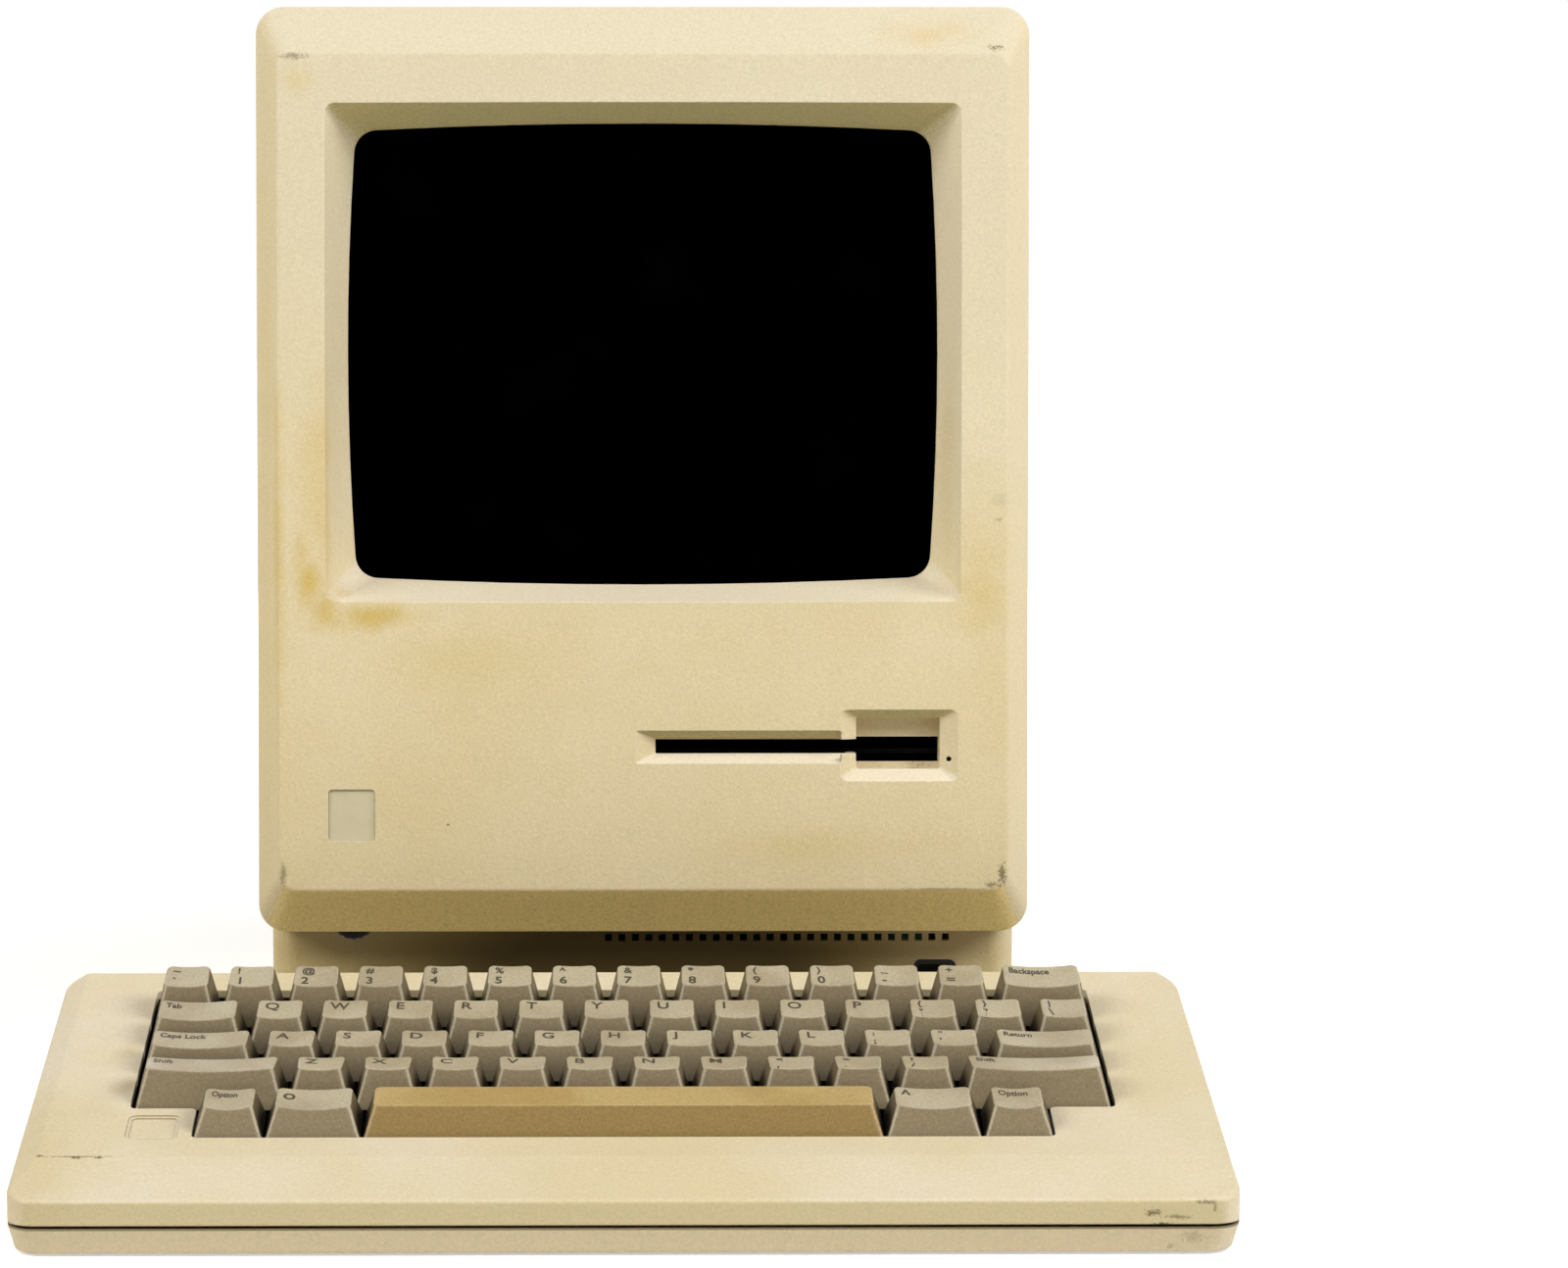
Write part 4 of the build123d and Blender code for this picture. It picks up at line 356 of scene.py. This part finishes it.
def keycap_abs(name, pale, deep, side, worn):
    """Keycap ABS: satin tops polished by fingers, painted shade on the sides, pale along the edges with wear
    and a painted highlight.
    """
    material, tree, shader, point = new_material(name, IOR=1.5, Specular_IOR_Level=0.35)
    patches = add(tree, "TexNoise", {"Vector": point, "Scale": 1 / (24 * MM), "Detail": 3.0})
    rounded = add(tree, "Bevel", {"Radius": CAP_EDGE_R * MM}, samples=6)
    true_normal = add(tree, "NewGeometry").outputs["True Normal"]
    local = add(tree, "VectorMath", {0: point, 1: deck.to_translation()}, operation="SUBTRACT")
    level, smooth, rightward, height, depth = [
        add(tree, "VectorMath", {0: value, 1: way}, operation="DOT_PRODUCT").outputs["Value"]
        for value, way in (
            (rounded, deck_out), (rounded, true_normal), (true_normal, (1, 0, 0)),
            (local, deck_out), (local, deck_back))]
    sideways = add(tree, "Math", {0: rightward}, operation="ABSOLUTE")

    # masks: 0 at the first limit and 1 at the second
    mask = {name: add(tree, "MapRange", {0: value, 1: low, 2: high}, interpolation_type="SMOOTHSTEP")
            for name, value, low, high in (
                ("deep", patches, 0.35, 0.68),
                ("side", level, 0.86, 0.66),
                ("flank", sideways, 0.7, 0.88),
                ("rear rows", depth, 32 * MM, 44 * MM),
                ("foot", height, 8.0 * MM, 0.5 * MM),
                ("edge", smooth, 0.995, 0.90),
                ("turning", sideways, 0.35, 0.5),
                ("not flank", sideways, 0.8, 0.68))}
    gap = add(tree, "Math", {0: mask["rear rows"], 1: 0.6}, operation="MULTIPLY")
    gap = add(tree, "Math", {0: mask["flank"], 1: gap}, operation="MAXIMUM")
    colour = lay(tree, srgb(pale), [
        (srgb(deep), mask["deep"]),
        # painted shade on the keys' fronts and sides
        (srgb(side), mask["side"]),
        # painted shade on the keys' left and right faces
        (srgb(KEY_FLANK_SHADE), mask["flank"], 0.6),
        # dust and painted shadow low between the keys, deeper in the rear rows
        (srgb(KEY_DUST_AND_SHADE), gap, mask["foot"], 0.95),
        (srgb(KEY_SCUFF), spots(tree, point, deck, KEY_MARKS, 0.0, 0.4)),
        # edges worn pale, with a painted highlight
        (srgb(worn), mask["edge"], 0.7),
        # painted highlight on the keys' rounded corners
        (srgb(worn), mask["turning"], mask["not flank"], 0.5),
    ])
    tree.links.new(speckle(tree, point, colour, 0.8, 0.8), shader.inputs["Base Color"])
    rough = add(tree, "Math", {0: patches, 1: 0.2, 2: 0.36}, operation="MULTIPLY_ADD")
    tree.links.new(rough.outputs[0], shader.inputs["Roughness"])
    moulded_grain(tree, point, shader, 0.25, rounded)
    return material


def plain_plastic(name, shade, pale, roughness, grain):
    """Moulded plastic of one colour with faint handling marks."""
    material, tree, shader, point = new_material(
        name, Roughness=roughness, IOR=1.5, Specular_IOR_Level=0.3)
    colour = clouded(tree, point, (shade, pale), 6, (0.45, 0.75), strength=0.5)
    tree.links.new(colour, shader.inputs["Base Color"])
    moulded_grain(tree, point, shader, grain)
    return material


ROLLED_LINE = 1.2             # rolling lines across the grain, before it is stretched
ROLLED_DEPTH = 0.05
TRACK_PITCH = 5.0             # copper tracks on a board


def metal_sheet(name, shade, pale, roughness, grain_axis):
    """Rolled or plated metal: fine lines along the rolling direction and cloudy tarnish."""
    material, tree, shader, point = new_material(name, Metallic=1.0)
    stretched = add(tree, "Mapping", {"Vector": point, "Scale": grain_axis})
    lines = add(tree, "TexNoise", {"Vector": stretched, "Scale": 1 / (ROLLED_LINE * MM), "Detail": 3.0})
    colour = clouded(tree, point, (shade, pale), 20, (0.4, 0.7), 3.0, 0.5)
    tree.links.new(colour, shader.inputs["Base Color"])
    rough = add(tree, "Math", {0: lines, 1: 0.25, 2: roughness}, operation="MULTIPLY_ADD")
    tree.links.new(rough.outputs[0], shader.inputs["Roughness"])
    bump = add(tree, "Bump", {"Strength": 0.15, "Distance": ROLLED_DEPTH * MM, "Height": lines})
    tree.links.new(bump.outputs[0], shader.inputs["Normal"])
    return material


def smoky_glass():
    """The tube's dark face: phosphor seen through smoky glass, with hardly any glare."""
    material, tree, shader, point = new_material(
        "smoky_glass", Roughness=0.3, IOR=1.5, Specular_IOR_Level=0.0)
    dust = clouded(tree, point, ("#000000", "#020202"), 30, (0.5, 0.8))
    tree.links.new(dust, shader.inputs["Base Color"])
    return material


def solder_mask_laminate():
    """Green solder mask over copper tracks."""
    material, tree, shader, point = new_material("solder_mask_laminate", Roughness=0.35, IOR=1.5)
    tracks = add(tree, "TexBrick", {
        "Vector": point, "Scale": 1 / (TRACK_PITCH * MM), "Mortar Size": 0.06,
        "Color1": srgb("#143E24"), "Color2": srgb("#18462B"), "Mortar": srgb("#2B6238")}, offset=0.5)
    tree.links.new(tracks.outputs[0], shader.inputs["Base Color"])
    return material


def moulded_rubber():
    """Black-brown rubber: matt, with bloom."""
    material, tree, shader, point = new_material("moulded_rubber", Roughness=0.85, IOR=1.52)
    bloom = clouded(tree, point, ("#2B2722", "#45403A"), 8, (0.45, 0.75))
    tree.links.new(bloom, shader.inputs["Base Color"])
    moulded_grain(tree, point, shader, 0.3)
    return material


def plaque_plastic():
    """A blank plaque of pale grey plastic, smoother than the case round it."""
    material, tree, shader, point = new_material("plaque_plastic", Roughness=0.35, IOR=1.5)
    haze = clouded(tree, point, ("#CFC4A2", "#CABE9A"), 5, (0.4, 0.7))
    tree.links.new(haze, shader.inputs["Base Color"])
    moulded_grain(tree, point, shader, 0.06)
    return material


def key_legend_ink():
    """Dye in the keytops: a little worn, no gloss of its own."""
    material, tree, shader, point = new_material("key_legend_ink", Roughness=0.6, IOR=1.5)
    worn = clouded(tree, point, ("#3A3325", "#554B39"), 0.8, (0.5, 0.75), 3.0, 0.7)
    tree.links.new(worn, shader.inputs["Base Color"])
    return material


paints = {
    "case_plastic": aged_abs(),
    # third colour: the keys' sides in painted shade; fourth: edges worn pale, with a painted highlight
    "key_plastic": keycap_abs("keycap_abs", "#B5A98D", "#A5977B", "#86775A", "#CFC4A8"),
    "space_plastic": keycap_abs("yellowed_keycap_abs", "#B79E68", "#A98E56", "#8D7442", "#C9B07D"),
    "dark_plastic": plain_plastic("black_abs", "#15130F", "#2A261F", 0.42, 0.2),
    "component_plastic": plain_plastic("black_thermoset", "#1A1814", "#2C2822", 0.5, 0.25),
    "badge_plastic": plaque_plastic(),
    "screen_glass": smoky_glass(),
    "sheet_steel": metal_sheet("zinc_plated_steel", "#8F8E86", "#A9A79D", 0.32, (1, 12, 12)),
    "sheet_aluminium": metal_sheet("mill_aluminium", "#B4B4B0", "#C8C8C4", 0.28, (1, 14, 14)),
    "screw_steel": metal_sheet("dark_zinc_screws", "#4C4A45", "#67645C", 0.35, (8, 1, 8)),
    "board_laminate": solder_mask_laminate(),
    "foot_rubber": moulded_rubber(),
    "battery_metal": plain_plastic("battery_sleeve", "#3A4450", "#4A5561", 0.38, 0.05),
}
# painted shade: the disk holder and switch plate are near black so the drive's mouth and the gaps between keys
# read as shadow
shade_black_steel = metal_sheet("steel_painted_black_for_shade", "#121110", "#1E1C1A", 0.5, (1, 10, 10))
own_paints = {
    "disk_holder": shade_black_steel,
    "switch_plate": shade_black_steel,
    "deflection_yoke": metal_sheet("enamelled_copper_wire", "#7A3B1E", "#9A5230", 0.35, (1, 1, 20)),
    "speaker": plain_plastic("speaker_paper", "#25221E", "#38332C", 0.8, 0.5),
    "flyback_transformer": plain_plastic("potting_resin", "#1B1614", "#3A2A22", 0.3, 0.15),
}
ink = key_legend_ink()
white_ink = plain_plastic("white_print", "#D8D6D0", "#C4C1B8", 0.55, 0.05)

slot_of = {part["node"]: part["material_slot"] for part in frame["record"]["subparts"]}
for name, node in frame["nodes"].items():
    node.data.materials.clear()
    node.data.materials.append(own_paints.get(name, paints[slot_of[name]]))


# ---------------------------------------------------------------- print: helpers
INK_T = 0.05
INK_SPREAD = 0.11             # how far the strokes are fattened
INK_LIFT = 0.02               # print above the skin it lies on
INK_STEPS = 4                 # straight steps in each curve of a letter
DROP_FROM = 40.0              # print is dropped onto a skin from this far outside the plane


def piece(name, mesh, material, body):
    """A new object of the scene that rides on a body and takes a slot's finish."""
    made = bpy.data.objects.new(name, mesh)
    bpy.context.scene.collection.objects.link(made)
    mesh.materials.clear()
    mesh.materials.append(material)
    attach(made, body)
    return made


def text_form(text, size, narrow):
    """A line of condensed text as a closed form in a bmesh, starting at the origin."""
    line = bpy.data.curves.new("line", "FONT")
    line.body = text
    line.size = size * MM
    line.extrude = INK_T / 2 * MM
    line.offset = INK_SPREAD * MM
    line.resolution_u = INK_STEPS
    holder = bpy.data.objects.new("line", line)
    bpy.context.scene.collection.objects.link(holder)
    mesh = bpy.data.meshes.new_from_object(holder)
    bpy.data.objects.remove(holder)
    form = bmesh.new()
    form.from_mesh(mesh)
    bpy.data.meshes.remove(mesh)
    form.transform(Matrix.Diagonal((narrow, 1, 1, 1)))
    return form


def print_lines(lines):
    """Lines of text as one form: text, type size, left, baseline, how far condensed."""
    whole = bmesh.new()
    for text, size, left, base, narrow in lines:
        form = text_form(text, size, narrow)
        form.transform(Matrix.Translation(metres(left, base, INK_T / 2)))
        scrap = bpy.data.meshes.new("scrap")
        form.to_mesh(scrap)
        form.free()
        whole.from_mesh(scrap)
        bpy.data.meshes.remove(scrap)
    return whole


def surface_of(name):
    """A CAD node's skin, to lay print on."""
    mesh = frame["nodes"][name].data
    return BVHTree.FromPolygons([v.co for v in mesh.vertices], [p.vertices for p in mesh.polygons])


def lay_on(form, plane, skin):
    """Drop a flat form's points straight down a plane's normal onto a skin."""
    normal = plane.to_3x3() @ UP
    for vert in form.verts:
        height = vert.co.z
        start = plane @ Vector((vert.co.x, vert.co.y, DROP_FROM * MM))
        hit = skin.ray_cast(start, -normal)[0]
        base = hit if hit is not None else plane @ Vector((vert.co.x, vert.co.y, 0))
        vert.co = base + normal * (height + INK_LIFT * MM)


def lay_print(name, lines, plane, material):
    """Print on a node: a thin piece that follows its skin and rides on its body."""
    form = print_lines(lines)
    lay_on(form, plane, surface_of(name))
    mesh = bpy.data.meshes.new(f"print_{name}")
    form.to_mesh(mesh)
    form.free()
    return piece(f"print_{name}", mesh, material, name)


# ---------------------------------------------------------------- print: keys and rocker
LETTER = 6.4                  # type sizes: letters, upper and lower signs
UPPER = 4.7
LOWER = 5.7
LETTER_NARROW = 0.82
LEFT_IN = 1.9                 # letters from the keytop's left and rear edges
REAR_IN = 2.1
PAIR_REAR_IN = 1.8
PAIR_DROP = 5.6               # from the upper sign's top to the lower one's
WORD_IN = 1.6                 # words from the keytop's left edge
CAP_PART = 0.66               # height of capitals as a part of the type size

LEGENDS = {
    "keys_number_left": ["~`", "!1", "@2", "#3", "$4"],
    "keys_number_middle": ["%5", "^6", "&7", "*8"],
    "keys_number_right": ["(9", ")0", "_-", "+="],
    "keys_upper_left": ["Q", "W", "E", "R"],
    "keys_upper_middle": ["T", "Y", "U", "I"],
    "keys_upper_right": ["O", "P", "{[", "}]", "|\\"],
    "keys_home_left": ["A", "S", "D", "F"],
    "keys_home_middle": ["G", "H", "J", "K"],
    "keys_home_right": ["L", ":;", "\"'"],
    "keys_bottom_left": ["Z", "X", "C", "V", "B"],
    "keys_bottom_right": ["N", "M", "<,", ">.", "?/"],
}
# row, text, type size and how far it is condensed
WORDS = {
    "key_backspace": ("number", "Backspace", 4.4, 0.66),
    "key_tab": ("upper", "Tab", 4.4, 0.68),
    "key_caps_lock": ("home", "Caps Lock", 4.4, 0.7),
    "key_return": ("home", "Return", 4.4, 0.68),
    "key_shift_left": ("bottom", "Shift", 4.6, 0.68),
    "key_shift_right": ("bottom", "Shift", 4.6, 0.68),
    "key_option_left": ("space", "Option", 4.2, 0.6),
    "key_option_right": ("space", "Option", 4.2, 0.68),
    "key_command": ("space", "o", 7.5, 0.9),
    "key_enter": ("space", "^", 7.5, 0.8),
}
# sign, left of the rocker's middle, baseline above it and how far it is condensed
ROCKER_SIZE = 4.5
ROCKER_SIGNS = [("I", 0.7, 2.6, 1.0), ("O", 1.6, -5.8, 0.9)]


def top_rear(row):
    """Rear edge of a row's keytops, up the deck from the crease."""
    return FIRST_ROW + ROWS[row] * KEY_PITCH + CAP_BASE / 2 - TOP_REAR


def top_left(name):
    """Left edge of a node's first keytop."""
    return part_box(name)[0].x / MM + TOP_SIDE


def key_lines(text, left, rear):
    """Print for one key whose keytop has its rear left corner there."""
    left += LEFT_IN
    if len(text) == 1:
        return [(text, LETTER, left, rear - REAR_IN - CAP_PART * LETTER, LETTER_NARROW)]
    top = rear - PAIR_REAR_IN
    return [(text[0], UPPER, left, top - CAP_PART * UPPER, LETTER_NARROW),
            (text[1], LOWER, left, top - PAIR_DROP - CAP_PART * LOWER, LETTER_NARROW)]


def key_legends():
    """Print on every keytop but the space bar's."""
    for name, texts in LEGENDS.items():
        rear = top_rear(name.split("_")[1])
        left = top_left(name)
        lines = []
        for i, text in enumerate(texts):
            lines += key_lines(text, left + i * KEY_PITCH, rear)
        lay_print(name, lines, deck, ink)
    for name, (row, text, size, narrow) in WORDS.items():
        base = top_rear(row) - REAR_IN - CAP_PART * size
        lay_print(name, [(text, size, top_left(name) + WORD_IN, base, narrow)], deck, ink)


def rocker_marks():
    """On and off signs on the power rocker."""
    low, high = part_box("power_rocker")
    across = COMPUTER_X - (low.x + high.x) / 2 / MM
    up = (low.z + high.z) / 2 / MM
    lines = [(sign, ROCKER_SIZE, across - left, up + base, narrow)
             for sign, left, base, narrow in ROCKER_SIGNS]
    lay_print("power_rocker", lines, rear_wall, white_ink)


key_legends()
rocker_marks()


# ---------------------------------------------------------------- stage: floor, light, camera
# lights and floor are in metres and watts
SKY_LIGHT = 0.04
LIGHTS = [
    # name, place, what it is aimed at, size, power
    ("right_light", (1.7, -0.9, 1.5), (0.0, -0.05, 0.1), (1.2, 1.2), 40),
    ("left_light", (-1.7, -0.9, 1.5), (0.0, -0.05, 0.1), (1.2, 1.2), 32.5),
    ("front_light", (0.1, -1.6, 1.6), (0.0, -0.05, 0.1), (1.6, 1.0), 12),
    ("rear_light", (0.0, 1.7, 0.4), (0.0, 0.2, 0.18), (1.0, 0.5), 8),
]
FLOOR_SIZE = 6.0
FLOOR_FAR = "#EAE8E4"
FLOOR_NEAR = "#8C8B88"        # darker under the object, where the shadow falls
NEAR_ENDS = (0.25, 0.12)      # from the origin
FAR_ENDS = (0.25, 0.7)

FOCAL = 98.86
SENSOR = 36.0
CAMERA_SHIFT = (0.08867, 0.0024)
CAMERA_PLACE = (-4.35, -1384.4, 287.1)
CAMERA_DOWN = 5.934           # degrees below level, and turned about the vertical
CAMERA_TURN = -0.499
CAMERA_REACH = 50.0


def seen_directly(tree):
    """1 for what the eye meets straight on, mirrored or through glass; 0 for bounced light."""
    seen = add(tree, "LightPath").outputs
    direct = add(tree, "Math", {0: seen["Is Camera Ray"], 1: seen["Is Glossy Ray"]}, operation="MAXIMUM")
    return add(tree, "Math", {0: direct, 1: seen["Is Transmission Ray"]}, operation="MAXIMUM")


def floor_paint():
    """Pale floor: it keeps the shadow near the object and is plain white further out."""
    material = bpy.data.materials.new("pale_floor")
    material.use_nodes = True
    tree = material.node_tree
    tree.nodes.clear()
    point = add(tree, "TexCoord").outputs["Object"]
    away = add(tree, "VectorMath", {0: point}, operation="LENGTH").outputs["Value"]
    near, far = [
        add(tree, "MapRange", {0: away, 1: low, 2: high}, interpolation_type="SMOOTHSTEP")
        for low, high in (NEAR_ENDS, FAR_ENDS)]
    glow = add(tree, "Math", {0: near, 1: 0.34, 2: 0.5}, operation="MULTIPLY_ADD")
    glow = add(tree, "Math", {0: far, 1: 0.5, 2: glow}, operation="MULTIPLY_ADD")
    glow = add(tree, "Math", {0: seen_directly(tree), 1: glow}, operation="MULTIPLY")
    matt = add(tree, "BsdfDiffuse", {"Color": lay(tree, srgb(FLOOR_FAR), [(srgb(FLOOR_NEAR), near)])})
    lift = add(tree, "Emission", {"Color": srgb("#FFFFFF"), "Strength": glow})
    both = add(tree, "AddShader", {0: matt, 1: lift})
    add(tree, "OutputMaterial", {"Surface": both})
    return material


def floor():
    """Plain level ground that isn't part of the object."""
    form = bmesh.new()
    bmesh.ops.create_grid(form, x_segments=1, y_segments=1, size=FLOOR_SIZE)
    mesh = bpy.data.meshes.new("floor")
    form.to_mesh(mesh)
    form.free()
    mesh.materials.append(floor_paint())
    ground = bpy.data.objects.new("floor", mesh)
    bpy.context.scene.collection.objects.link(ground)


def soft_light(name, place, target, size, power):
    """A rectangular lamp aimed at a point."""
    lamp = bpy.data.lights.new(name, "AREA")
    lamp.shape = "RECTANGLE"
    lamp.size, lamp.size_y = size
    lamp.energy = power
    holder = bpy.data.objects.new(name, lamp)
    bpy.context.scene.collection.objects.link(holder)
    holder.location = place
    holder.rotation_euler = (Vector(target) - Vector(place)).to_track_quat("-Z", "Y").to_euler()


def sky():
    """White to the eye and in reflections, softer as a light."""
    world = bpy.data.worlds.new("studio")
    bpy.context.scene.world = world
    world.use_nodes = True
    tree = world.node_tree
    strength = add(tree, "Math", {0: seen_directly(tree), 1: 1 - SKY_LIGHT, 2: SKY_LIGHT},
                   operation="MULTIPLY_ADD")
    ground = tree.nodes["Background"]
    ground.inputs["Color"].default_value = srgb("#FFFFFF")
    tree.links.new(strength.outputs[0], ground.inputs["Strength"])


def camera():
    """The eye in front of the keyboard, a little left of the middle."""
    lens = bpy.data.cameras.new("camera")
    lens.sensor_width = SENSOR
    lens.lens = FOCAL
    lens.shift_x, lens.shift_y = CAMERA_SHIFT
    lens.clip_end = CAMERA_REACH
    eye = bpy.data.objects.new("camera", lens)
    bpy.context.scene.collection.objects.link(eye)
    eye.location = metres(*CAMERA_PLACE)
    eye.rotation_euler = (math.radians(90 - CAMERA_DOWN), 0, math.radians(CAMERA_TURN))
    bpy.context.scene.camera = eye


floor()
sky()
for light in LIGHTS:
    soft_light(*light)
camera()
bpy.context.scene.view_settings.view_transform = "Standard"

bpy.context.view_layer.update()
